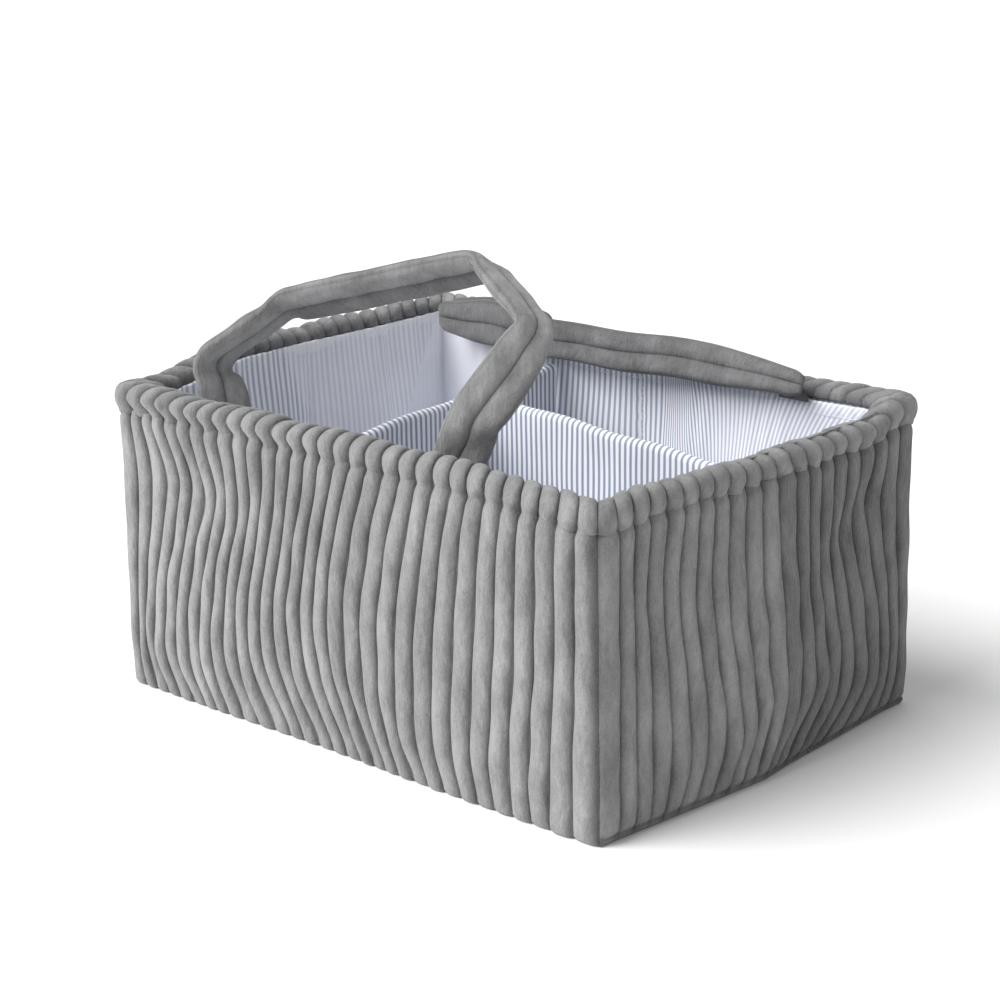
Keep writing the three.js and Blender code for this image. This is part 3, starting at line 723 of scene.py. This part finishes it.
for wallName in walls:
    foamBoard(wallName)
rimRows = []
for order, wallName in enumerate(walls):
    outerPanel(wallName, 10 + order)
    rimRows.append(rimBinding(wallName, 30 + order))
stitchRows("rimSeamStitches", rimRows, threadFinish, stitch["corduroy"])
print("walls and rim made")


# Base panel, turned in behind the walls, and its lining.
base = {"half": (179.4, 129.4), "corner": 6, "wave": (0.25, 120, 90)}


def baseCloth():
    high = boxOf("base_panel")[1][2]
    section = np.array([(3.0, 0.05), (1.0, 0.25), (0, 1.25), (1.0, high - 0.2), (3.0, high)])  # inset, height
    quarter = np.linspace(0, np.pi / 2, 9)
    angle = np.concatenate([quarter + k * np.pi / 2 for k in range(4)])
    signs = np.repeat([(1, 1), (-1, 1), (-1, -1), (1, -1)], len(quarter), 0)
    middle = signs * (np.array(base["half"]) - base["corner"])
    radius = base["corner"] - section[:, :1]
    x, y = middle[:, 0] + radius * np.cos(angle), middle[:, 1] + radius * np.sin(angle)
    rings = gridOf(x, y, section[:, 1:])
    # painted shade: the base under the walls is darker
    piece = loftMesh("baseCorduroy", rings, corduroyFinish, tones={"valley": 0.6, "napLightAndShade": 0.8})
    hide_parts("base_panel")
    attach(piece, "body")


def baseLining():
    low, high = boxOf("base_lining")
    x = np.linspace(low[0], high[0], 60)[None, :]
    y = np.linspace(low[1], high[1], 40)[:, None]
    wave = uneven(base["wave"], 71, x, y)
    under, over = gridOf(x, y, low[2]), gridOf(x, y, high[2] - 0.3 + wave)
    piece = slabMesh("baseLining", under, over, cottonFinish, gridOf(x, y) / 100)
    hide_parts("base_lining")
    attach(piece, "body")


baseCloth()
baseLining()


# Lining and gathered pockets.
lining = {"face": 16.8, "thick": 1.2, "top": 179.6, "wave": (0.35, 70, 90)}
pocket = {
    "corner": 2.0,  # corner of the lining to the first seam
    "seam": 1.7,
    "depth": 8.2,
    "most": 10.3,
    "thick": 1.0,
    "bellyTall": 70,
    # share of the depth left where the elastic pulls the top in
    "topTaut": {"front": 0.72, "right": 0.72, "rear": 0.25, "left": 0.1},
    "gathered": 1.1,  # more stripes to a length, as the cloth is drawn together
    "denser": {"rear": (-18, 0.9)},  # drawn together more beyond a place along
    "gathers": {"front": 9, "right": 7, "rear": 9, "left": 7},  # in one bay
    "gatherDeep": (0.7, 40),  # at the top edge, and over which height it fades
    "loose": (0.5, 55, 70),
    "edgeWave": (0.12, 9),
    "sag": {"front": 1.6, "right": 1.6, "rear": 0.5, "left": 0.5},
    "raise": {"front": 0, "right": 0, "rear": 5, "left": 6},
    # stripes spread upwards: from a place, rate, over a stretch
    "fan": {"rear": (-75, 0.013, -18, -45), "front": (70, 0.003, 20, 50)},
    "fanFrom": 120,
    "pucker": (1.1, 6, 4.5),  # at the middle seam: amount, height of a wave, width
    "slack": {"left": (4, 0.62)},  # first bay hangs away from its corner: by this much, and more for each mm down
}
# The hem's section: out from the pocket's back, up from its edge.
hem = {
    "section": [
        (0.6, -9), (1.05, -7), (1.1, -4.5), (1.1, -0.6), (0.8, 0.5),
        (-0.3, 0.6), (-1.1, -0.5), (-1.2, -4.5), (-0.9, -9),
    ],
    "stitches": (1.25, -6.6),
    "least": 0.25,  # clear of the lining
}
# How pale the print is on two walls, as painted light washing it out, and how much more over a stretch along.
pale = {
    "left": 0.3,
    "leftMore": (0.42, -14, -4),
    "leftCorner": 0.95,
    "rear": 0.12,
    "rearMore": [(0.88, 66, 92), (0.26, -40, -75)],
}


def pocketEnd(name):
    return walls[name]["half"] - lining["face"] - pocket["corner"]


# 0 where a slack pocket lies back against the lining beside its corner, 1 elsewhere.
def besideCorner(name, a, z):
    if name not in pocket["slack"]:
        return 1.0
    least, rate = pocket["slack"][name]
    top = boxOf(f"{name}_pocket")[1][2] + pocket["raise"][name]
    return smoothstep(-3, 3, a + pocketEnd(name) - least - rate * (top - z))


# The print is made pale on the left wall and the ends of the rear wall, as painted light washing it out, and
# almost gone beside the left corner where the pocket hangs slack.
def paleAndLitPrint(name, a, z):
    if name == "left":
        worn = pale["left"] + ramp(pale["leftMore"], -a + 0.35 * (z - 150))
        return np.maximum(worn, pale["leftCorner"] * (1 - besideCorner(name, a, z)))
    if name == "rear":
        return pale["rear"] + sum(ramp(more, a) for more in pale["rearMore"])
    return 0 * a


def waveFan(name, run, a, z):  # the stripes' own place, with their spread and the pucker at the middle seam
    spread = run * pocket["gathered"]
    if name in pocket["denser"]:
        beyond, more = pocket["denser"][name]
        spread = spread - more * np.maximum(beyond - a, 0)
    if name in pocket["fan"]:
        centre, rate, fromA, toA = pocket["fan"][name]
        reached = smoothstep(0, 1, (a - fromA) / (toA - fromA))
        spread = spread - (a - centre) * rate * (z - pocket["fanFrom"]) * reached
    amount, tall, wide = pocket["pucker"]
    return spread + amount * ripple(77, z / tall) * bell(a, wide)


def wallLining(name, seed):
    low, high = boxOf(f"{name}_lining")
    size = high - low
    half = max(size[:2]) / 2
    a = np.linspace(-half, half, 130)[None, :]
    z = np.linspace(low[2], lining["top"], 34)[:, None]
    wave = uneven(lining["wave"], seed, a, z)
    back = onWall(name, a, lining["face"] - lining["thick"], z)
    face = onWall(name, a, lining["face"] - 0.35 + wave, z)
    uv = gridOf(pocket["gathered"] * a, z) / 100
    piece = slabMesh(f"{name}Lining", back, face, cottonFinish, uv, {"paleAndLit": paleAndLitPrint(name, a, z)})
    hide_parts(f"{name}_lining")
    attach(piece, "body")


def pocketDepth(name, a, z, top, seed):  # distance of a pocket's back from the lining
    end = pocketEnd(name)
    share = np.clip(np.where(a < 0, (a + end) / end, a / end), 0, 1)
    full = np.sin(np.pi * share) ** 0.5
    belly = rising(pocket["topTaut"][name], 0, 1, np.clip((top - z) / pocket["bellyTall"], 0, 1))
    gatherDeep, fades = pocket["gatherDeep"]
    fold = np.cos(2 * np.pi * pocket["gathers"][name] * (share + 0.05 * ripple(seed, share * 3)))
    fold = fold * gatherDeep * np.exp(-(top - z) / fades) * full
    loose = uneven(pocket["loose"], seed + 1, a, z) * full
    full = full * besideCorner(name, a, z) * rising(0.35, 0, 24, end - np.abs(a))  # flat in the corners
    full = full * smoothstep(-2, 15, z - boxOf(f"{name}_pocket")[0][2])  # and at its foot
    depth = pocket["seam"] + pocket["depth"] * full * belly + fold + loose
    return np.clip(depth, pocket["seam"] - 0.2, pocket["most"])


def wallPocket(name, seed):
    low, high = boxOf(f"{name}_pocket")
    end, top, lifted = pocketEnd(name), high[2], high[2] + pocket["raise"][name]
    seams = np.concatenate([np.linspace(-end, 0, 130)[:-1], np.linspace(0, end, 130)])
    a = seams[None, :]
    t = np.linspace(0, 1, 44)[:, None]
    middle = len(seams) // 2
    sag = pocket["sag"][name] * np.abs(np.sin(np.pi * a / end))
    edge = lifted - 1 - sag + uneven(pocket["edgeWave"], seed + 5, a)
    z = low[2] + (edge - low[2]) * t
    depth = pocketDepth(name, a, z, lifted, seed)
    back = onWall(name, a, lining["face"] + depth, z)
    face = onWall(name, a, lining["face"] + depth + pocket["thick"], z)
    run = np.concatenate([[0], np.cumsum(np.hypot(np.diff(seams), np.diff(depth[len(t) // 2])))])
    run = run - run[middle]
    uv = gridOf(waveFan(name, run[None, :], a, z), z) / 100
    piece = slabMesh(f"{name}Pocket", back, face, cottonFinish, uv, {"paleAndLit": paleAndLitPrint(name, a, z)})
    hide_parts(f"{name}_pocket")
    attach(piece, "body")

    # hem folded over the elastic
    crown, across = edge[0][:, None], seams[:, None]
    topDepth = pocketDepth(name, across, crown, lifted, seed)
    out, up = np.array(hem["section"]).T
    rings = onWall(name, across, lining["face"] + np.maximum(topDepth + out, hem["least"]), crown + up)
    hemUv = gridOf(waveFan(name, run[:, None], across, crown + up), np.arange(len(up))) / 100
    # the hem's print is paler still, the same painted light
    paleAndLit = np.minimum(1, 1.3 * paleAndLitPrint(name, across, crown))
    band = loftMesh(f"{name}PocketHem", rings, cottonFinish, uv=hemUv, tones={"paleAndLit": paleAndLit})
    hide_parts(f"{name}_pocket_elastic")
    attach(band, "body")
    inner = lining["face"] + depth[:, middle] + pocket["thick"]
    middleSeam = onWall(name, 0, inner + 0.25, z[:, middle])
    out, up = hem["stitches"]
    hemSeam = onWall(name, seams, lining["face"] + topDepth[:, 0] + out, crown[:, 0] + up)
    return [middleSeam, hemSeam]


pocketRows = []
for order, wallName in enumerate(walls):
    wallLining(wallName, 50 + order)
    pocketRows += wallPocket(wallName, 60 + 7 * order)
stitchRows("pocketStitches", pocketRows, whiteThreadFinish, stitch["cotton"])
print("lining and pockets made")


# Divider, a cross panel and a long panel.
divider = {
    "crossX": -49,
    "crossSlant": 9,
    "longAlong": 27,
    "longSlant": -9.5,
    "half": 4,
    "skin": 1.2,
    "top": 170.5,
    "foot": 8.6,
    "tapeWide": 20,
    "tapeThick": 1.0,
    "pockets": 28.6,  # inset of the fullest pockets
    "gap": 0.3,
    "swingGap": 1.5,
    "sag": (0.9, 2.5, 110),  # top edge: amount, waves, from which height
    "puff": (0.35, 5, 60),  # cloth on the board: amount, waves along, height of a wave
}


def turned(points, degrees, x, y):
    c, s = math.cos(math.radians(degrees)), math.sin(math.radians(degrees))
    across, deep, height = np.moveaxis(points, -1, 0)
    return np.stack([across * c - deep * s + x, across * s + deep * c + y, height], -1)


# A sleeve of cloth along X from 0, closed over the top and at its ends, open below.
def sleeve(name, length, roundStart, seed, degrees, x, y):
    half, skin, top, foot = (divider[key] for key in ("half", "skin", "top", "foot"))
    crown = top - half
    s = np.linspace(0, 1, 121)[:, None]
    arc = np.linspace(0, np.pi, 13)
    up = np.linspace(0, crown - foot, 22)[:-1]
    sagDeep, sagWaves, sagFrom = divider["sag"]
    puffDeep, puffWaves, puffTall = divider["puff"]

    def layer(shrink):
        thick = half - shrink
        across = np.concatenate([np.full(len(up), -thick), -thick * np.cos(arc), np.full(len(up), thick)])
        height = np.concatenate([foot + up, crown + thick * np.sin(arc), foot + up[::-1]])
        along = shrink + (length - 2 * shrink) * s
        sag = sagDeep * ripple(seed, s * sagWaves) * smoothstep(sagFrom, top, height)
        if shrink == 0:
            puff = puffDeep * (ripple(seed + 1, s * puffWaves, height / puffTall) - 1)
            across = across * (1 + puff / half)
        if roundStart:
            across = across * np.sqrt(1 - 0.9 * np.clip(1 - along / half, 0, 1) ** 2)
        return gridOf(along, across, height + sag)

    outer, inner = layer(0), layer(skin)
    around = np.concatenate([foot + up, crown + half * arc, crown + half * np.pi + (crown - foot) - up[::-1]])
    rows, columns = outer.shape[:2]
    offset = rows * columns
    index = np.arange(offset).reshape(rows, columns)
    faces = gridFaces(rows, columns).tolist() + gridFaces(rows, columns, offset)[:, ::-1].tolist()
    first, last = index[0].tolist(), index[-1].tolist()
    faces += [first, last[::-1], [i + offset for i in first[::-1]], [i + offset for i in last]]
    for edge in (index[:, 0], index[:, -1]):
        faces += edgeFaces(edge, offset).tolist()
    faces += [[row[0], row[-1], row[-1] + offset, row[0] + offset] for row in (first, last)]
    points = turned(np.stack([outer, inner]), degrees, x, y)
    return makeMesh(name, points, faces, cottonFinish, gridOf(length * s, around) / 100, sharp=(first, last))


def dividerPieces():
    half, gap, slant = divider["half"], divider["gap"], math.radians(divider["crossSlant"])
    c, s = math.cos(slant), math.sin(slant)
    crossHalf = (walls["front"]["away"] - divider["pockets"] - gap - half * s) / c
    startX, startY = divider["crossX"] + crossHalf * s, -crossHalf * c
    cross = sleeve("crossDivider", 2 * crossHalf, False, 81, 90 + divider["crossSlant"], startX, startY)
    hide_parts("divider_cross_cover")
    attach(cross, "body")
    hingeOff = 2 * half + 2 * gap + divider["skin"]
    hingeX = divider["crossX"] + hingeOff * c - divider["longAlong"] * s
    hingeY = hingeOff * s + divider["longAlong"] * c
    reach = walls["right"]["away"] - divider["pockets"] - divider["swingGap"] - hingeX
    long = sleeve("longDivider", reach, True, 83, divider["longSlant"], hingeX, hingeY)
    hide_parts("divider_long_cover")
    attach(long, "divider_long")

    # tape that joins them
    low, high = boxOf("divider_seam_tape")
    a = np.linspace(-1, 1, 9)[None, :]
    z = np.linspace(low[2], high[2], 40)[:, None]
    face = half + gap + 0.2 * ripple(87, a, z / 30) ** 2

    def strip(out):
        flat = gridOf(face + out, divider["longAlong"] + a * divider["tapeWide"] / 2, z)
        return turned(flat, divider["crossSlant"], divider["crossX"], 0)

    thick = divider["tapeThick"]
    tape = slabMesh("dividerSeamTape", strip(0), strip(thick), cottonFinish, gridOf(a / 10, z / 100))
    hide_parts("divider_seam_tape")
    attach(tape, "body")
    outside = strip(thick + 0.1)
    tapeRows = [(outside[:, column] + outside[:, column + 1]) / 2 for column in (0, 7)]
    stitchRows("tapeStitches", tapeRows, whiteThreadFinish, stitch["cotton"])


dividerPieces()
print("divider made")


# Strap handles of two lengthwise wales on each side.
# the last of these is painted shade on the strap's thin edges
strap = {"wales": 2, "steps": 8, "valley": 0.62, "edge": 0.45, "edgeOut": 0.04, "edgeShade": 0.55}


def strapOutline():  # across and through the strap, each -0.5 to 0.5, and its painted shade from groove to crest
    place, crest, _ = ridges(strap["wales"], strap["steps"])
    across = place / strap["wales"] - 0.5
    floor = np.where(np.abs(across) > 0.5 - 0.5 / strap["wales"], strap["edge"], strap["valley"])
    through = (floor + (1 - floor) * crest) / 2
    side = [(0.5 + strap["edgeOut"], 0, strap["edgeShade"])]
    other = [(-0.5 - strap["edgeOut"], 0, strap["edgeShade"])]
    under, over = np.stack([across, -through, crest], 1), np.stack([across, through, crest], 1)[::-1]
    across, through, tone = np.concatenate([under, side, over, other]).T[:, None, :]
    return across, through, tone**0.8


strapAcross, strapThrough, strapPaintedShade = strapOutline()


def roundedRoute(corners, cut, step):
    points = [corners[0]]
    for i in range(1, len(corners) - 1):
        ends = []
        for other in (corners[i - 1], corners[i + 1]):
            toward = other - corners[i]
            long = np.linalg.norm(toward)
            ends.append(corners[i] + toward / long * min(cut[i], long / 2))
        for t in np.linspace(0, 1, 9):
            points.append((1 - t) ** 2 * ends[0] + 2 * t * (1 - t) * corners[i] + t * t * ends[1])
    points = np.array([*points, corners[-1]])
    gone = np.concatenate([[0], np.cumsum(np.linalg.norm(np.diff(points, axis=0), axis=1))])
    keep = np.concatenate([[True], np.diff(gone) > 1e-6])
    even = np.linspace(0, gone[-1], int(gone[-1] / step))
    return np.stack([np.interp(even, gone[keep], column) for column in points[keep].T], 1), even


frontHandle = {
    "middle": -20,
    "hinge": (-113.9, 196.5),
    "lean": 30,
    "leanOver": (-8, 12),
    # strap's centre line in its leaning plane, from the left foot over to the right one
    "corners": [
        (-101, -24), (-104, -11), (-114, 7), (-67, 47.2), (70, 90.2), (119, 62), (108, 28), (90, -12), (86, -24),
    ],
    "cut": [0, 8, 17, 5, 4, 7, 16, 8, 0],
    "step": 1.2,
    "roll": [66, 82, 104, 78, 98, 124, 138, 160],  # degrees each stretch is turned
    "rollOver": [0, 8, 20, 9, 9, 14, 10, 8],  # half the length over which it turns at each corner
    "softFold": 1.2,
    "foldReach": 24,
    "pinched": {3: 0.06, 4: 0.1, 5: 0.2},  # width lost at each fold
    "pinchOver": 16,
    "squeeze": (0.15, 0, 7),  # thickness lost at a fold
    "shade": [1.15, 1.12, 1.04, 0.94, 1.0, 1.06, 0.96, 0.9, 1.04],  # painted light and shade at each corner, lighter on the stretches that look lit
    "napLightAndShade": 1.08,
    "under": 0.36,  # painted shade on the lower side of the grip
    "wide": 27.4,
    "thick": 9,
    "footIn": (6, -14, 4),  # how far a foot turned on edge stands in from the rim, and where
    "bend": 9,
}


# Keeps each side of a fold behind the plane that halves it, so that the cloth doesn't run through itself.
def foldedFlat(flat, corners, route, run, gone, atCorner):
    soft = frontHandle["softFold"]
    legs = np.diff(corners, axis=0)
    legs /= np.linalg.norm(legs, axis=1)[:, None]
    for i in range(1, len(corners) - 1):
        halfway = legs[i - 1] + legs[i]
        halfway /= np.linalg.norm(halfway)
        past = gone - atCorner[i]
        pivot = route[np.argmin(np.abs(past))]
        for side in (-1, 1):
            near = (side * past >= 0) & (np.abs(past) < frontHandle["foldReach"])
            over = -side * ((flat[near] - pivot) @ halfway) / soft
            pushed = soft * np.logaddexp(0, over) / (run[near] @ halfway)[:, None]
            flat[near] += side * pushed[..., None] * run[near][:, None, :]
    return flat


def frontStrap():
    corners = np.array(frontHandle["corners"], float)
    route, gone = roundedRoute(corners, frontHandle["cut"], frontHandle["step"])
    run = np.gradient(route, axis=0)
    run /= np.linalg.norm(run, axis=1)[:, None]
    away = np.linalg.norm(route[:, None] - corners[None], axis=2)
    atCorner = gone[np.argmin(away, 0)]
    roll = frontHandle["roll"]
    turn = np.full(len(gone), float(roll[0]))
    for i in range(1, len(roll)):
        reach = frontHandle["rollOver"][i]
        turn += (roll[i] - roll[i - 1]) * smoothstep(-reach, reach, gone - atCorner[i])
    c, s = np.cos(np.radians(turn))[:, None], np.sin(np.radians(turn))[:, None]
    squeeze, narrow = np.ones(len(gone)), np.ones(len(gone))
    for fold, lost in frontHandle["pinched"].items():
        squeeze -= hump(frontHandle["squeeze"], away[:, fold])
        narrow -= lost * bell(away[:, fold], frontHandle["pinchOver"])
    wide = frontHandle["wide"] * (narrow + uneven((0.03, 55), 94, gone))
    thick = frontHandle["thick"] * squeeze * (1 + uneven((0.07, 40), 91, gone))
    px = strapAcross * wide[:, None]
    py = strapThrough * thick[:, None] * (1 + 0.1 * ripple(92, gone[:, None] / 24, strapAcross * 3))
    across, out = px * c - py * s, px * s + py * c
    out = out + ramp(frontHandle["footIn"], -route[:, 1:2]) * s
    flat = np.stack([route[:, 0:1] + across * run[:, 1:2], route[:, 1:2] - across * run[:, 0:1]], -1)
    u, v = np.moveaxis(foldedFlat(flat, corners, route, run, gone, atCorner), -1, 0)
    tilt = math.radians(frontHandle["lean"]) * smoothstep(*frontHandle["leanOver"], v)
    hingeY, hingeZ = frontHandle["hinge"]
    up = np.maximum(v, 0)
    y = hingeY + up * np.sin(tilt) + out * np.cos(tilt)
    z = hingeZ + np.minimum(v, 0) + up * np.cos(tilt) - out * np.sin(tilt)
    rings = np.stack([frontHandle["middle"] + u, y, z], -1)
    # painted light and shade along the strap, and painted shade on the grip's lower side
    napLightAndShade = np.interp(gone, atCorner, frontHandle["shade"]) + uneven((0.06, 60), 93, gone)
    onGrip = smoothstep(-3, 5, gone - atCorner[3]) * smoothstep(-3, 5, atCorner[4] - gone)
    lower = smoothstep(-0.06, 0.06, strapAcross) * onGrip[:, None]
    napLightAndShade = napLightAndShade[:, None] * (frontHandle["napLightAndShade"] - frontHandle["under"] * lower)
    piece = loftMesh("frontStrap", rings, corduroyFinish, tones={"valley": strapPaintedShade, "napLightAndShade": napLightAndShade})
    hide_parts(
        "front_handle_cover", "front_handle_webbing", "front_handle_left_tab", "front_handle_right_tab"
    )
    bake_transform(piece)


rearHandle = {
    "rightFoot": 116,
    "rightFold": 50,
    "leftFold": -142,
    "leftFoot": -76,
    "height": 189.6,
    "wide": 22.6,
    "thick": 8.8,
    "swell": (4.6, -106, 32),  # wider and higher towards the left fold: amount, place, spread
    # width lost and drop towards the right end, width lost and lift towards the left one
    "taper": (0.36, 56, 128),
    "drop": (3.0, 56, 128),
    "taperLeft": (0.22, 112, 154),
    "liftLeft": (2, 112, 154),
    "legY": 110.6,
    "gripY": 100.3,
    "gripOver": (-78, 40),
    "splitRight": 84,
    "splitGrip": -46,
    "round": 11,
    "rollRight": (24, -60, 60),  # degrees the strap leans back at its right end, over a stretch
    "least": 0.004,  # thickness left at a rounded end, squared
    # painted shade: the rear strap is darker overall
    "napLightAndShade": 0.63,
}


def rearLength(name, fromX, toX, roundStart, roundEnd, onGrip, seed):
    r = rearHandle["round"]
    arc = np.linspace(0.12, np.pi / 2, 12)
    low, high = fromX - r * roundStart, toX + r * roundEnd
    x = np.linspace(low, high, int((high - low) / 2))
    past = 0 * x  # how far into a rounded end
    if roundStart:
        x = np.concatenate([low + r * (1 - np.cos(arc)), x[x > fromX]])
        past = np.maximum(0, (fromX - x) / r)
    if roundEnd:
        past = np.concatenate([past[x < toX], np.cos(arc[::-1])])
        x = np.concatenate([x[x < toX], high - r * (1 - np.cos(arc[::-1]))])
    share = np.sqrt(np.clip(1 - past**2, rearHandle["least"], 1))
    bulge = hump(rearHandle["swell"], x)
    wide = (1 - 0.34 * past**3) * (1 - ramp(rearHandle["taper"], x) - ramp(rearHandle["taperLeft"], -x))
    px = strapAcross * ((rearHandle["wide"] + bulge) * wide)[:, None]
    thick = rearHandle["thick"] * (0.08 + 0.92 * share) * (1 + uneven((0.06, 40), seed, x))
    py = strapThrough * thick[:, None] * (1 + 0.1 * ripple(seed + 1, x[:, None] / 26, strapAcross * 3))
    depth, roll = rearHandle["legY"] + 0 * x, 0 * x
    if onGrip:
        depth = depth + (rearHandle["gripY"] - depth) * smoothstep(*rearHandle["gripOver"], -x)
        roll = np.radians(ramp(rearHandle["rollRight"], x))
    c, s = np.cos(roll)[:, None], np.sin(roll)[:, None]
    lift = bulge / 2 - ramp(rearHandle["drop"], x) + ramp(rearHandle["liftLeft"], -x)
    height = rearHandle["height"] + lift + uneven((0.7, 70), seed + 3, x)
    rings = gridOf(x[:, None], depth[:, None] + py * c + px * s, height[:, None] + px * c - py * s)
    # painted shade over the whole strap, and in its grooves
    napLightAndShade = rearHandle["napLightAndShade"] + uneven((0.06, 50), seed + 2, x)
    piece = loftMesh(name, rings, corduroyFinish, tones={"valley": strapPaintedShade, "napLightAndShade": napLightAndShade[:, None]})
    return piece


def rearStrap():
    rightFoot, rightFold, leftFold = rearHandle["rightFoot"], rearHandle["rightFold"], rearHandle["leftFold"]
    rightSplit, gripSplit = rearHandle["splitRight"], rearHandle["splitGrip"]
    foot = rearLength("rearStrapFoot", rightSplit, rightFoot, False, True, True, 101)
    bend = rearLength("rearStrapBend", gripSplit, rightSplit, False, False, True, 101)
    grip = rearLength("rearStrapGrip", leftFold, gripSplit, True, False, True, 101)
    leg = rearLength("rearStrapLeftLeg", leftFold, rearHandle["leftFoot"], True, True, False, 111)

    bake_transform(foot)
    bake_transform(bend)
    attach(grip, "rear_grip")
    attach(leg, "rear_left_leg")
    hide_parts("rear_handle_right_leg_webbing")
    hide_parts("rear_handle_right_leg")
    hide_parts("rear_handle_grip", "rear_handle_grip_webbing")
    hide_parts("rear_handle_left_leg", "rear_handle_left_leg_webbing")


# Sewn ends of the rear handle: share of the solid's width, roundness of the top, room below and above.
tab = {"wide": 0.76, "domed": 0.6, "below": 2, "under": 4}


def rearTab(side):
    low, high = boxOf(f"rear_handle_{side}_tab")
    middle, size = (low + high) / 2, high - low
    wide = tab["wide"] * size[0]
    dome = tab["domed"] * wide / 2
    knee = rearHandle["height"] - wide / 2 - tab["under"]
    rise = knee + dome * np.sin(np.linspace(0.1, 1.45, 12))
    z = np.concatenate([np.linspace(low[2] - tab["below"], knee, 14)[:-1], rise])[:, None]
    share = np.sqrt(np.clip(1 - (np.maximum(z - knee, 0) / dome) ** 2, rearHandle["least"], 1))
    x = middle[0] + strapAcross * wide * share
    y = middle[1] + strapThrough * size[1] * (0.5 + 0.5 * share)
    # painted shade: the tab's grooves and the whole tab are darker
    tones = {"valley": strapPaintedShade, "napLightAndShade": 0.8}
    piece = loftMesh(f"rearTab{side.capitalize()}", gridOf(x, y, z), corduroyFinish, tones=tones)
    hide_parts(f"rear_handle_{side}_tab")
    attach(piece, "body")


frontStrap()
rearStrap()
rearTab("left")
rearTab("right")
print("handles made")


# Floor, light and camera.
studio = {"sunAzimuth": -34, "sunHeight": 46, "sun": 3.9, "soft": 52, "sky": 0.47, "floor": 12}


def pointing(azimuth, elevation):
    a, e = math.radians(azimuth), math.radians(elevation)
    return Vector((math.sin(a) * math.cos(e), -math.cos(a) * math.cos(e), math.sin(e)))


def studioSetup():
    far = studio["floor"]
    mesh = bpy.data.meshes.new("paleFloor")
    mesh.from_pydata([(-far, -far, 0), (far, -far, 0), (far, far, 0), (-far, far, 0)], [], [(0, 1, 2, 3)])
    mesh.materials.append(floorFinish)
    ground = addObject("paleFloor", mesh)

    lamp = bpy.data.lights.new("softSun", "SUN")
    lamp.energy = studio["sun"]
    lamp.angle = math.radians(studio["soft"])
    sun = addObject("softSun", lamp)
    sun.rotation_mode = "QUATERNION"
    sun.rotation_quaternion = pointing(studio["sunAzimuth"], studio["sunHeight"]).to_track_quat("Z", "Y")

    world = bpy.data.worlds.new("studioSky")
    bpy.context.scene.world = world
    world.use_nodes = True
    sky = world.node_tree.nodes["Background"]
    sky.inputs["Color"].default_value = (1, 1, 1, 1)
    sky.inputs["Strength"].default_value = studio["sky"]
    bpy.context.scene.view_settings.view_transform = "Standard"


# Lengths in metres, the focal length in pixels of a picture 1000 wide.
view = {
    "focal": 2479.9,
    "azimuth": 43.286,
    "elevation": 16.401,
    "distance": 1.4516,
    "across": -0.0057,
    "up": 0.0279,
    "roll": -0.911,
    "target": 0.09,
}


def photoCamera():
    back = pointing(view["azimuth"], view["elevation"])
    azimuth, roll = math.radians(view["azimuth"]), math.radians(view["roll"])
    across = Vector((math.cos(azimuth), math.sin(azimuth), 0))
    up = back.cross(across)
    target = Vector((0, 0, view["target"]))
    place = target + across * view["across"] + up * view["up"] + back * view["distance"]
    right = across * math.cos(roll) + up * math.sin(roll)
    top = up * math.cos(roll) - across * math.sin(roll)
    lens = bpy.data.cameras.new("photoCamera")
    lens.sensor_width = 36
    lens.lens = view["focal"] * lens.sensor_width / 1000
    camera = addObject("photoCamera", lens)
    turn = Matrix((right, top, back)).transposed()
    camera.matrix_world = Matrix.Translation(place) @ turn.to_4x4()
    bpy.context.scene.camera = camera


studioSetup()
photoCamera()
print("studio made")

bpy.context.view_layer.update()
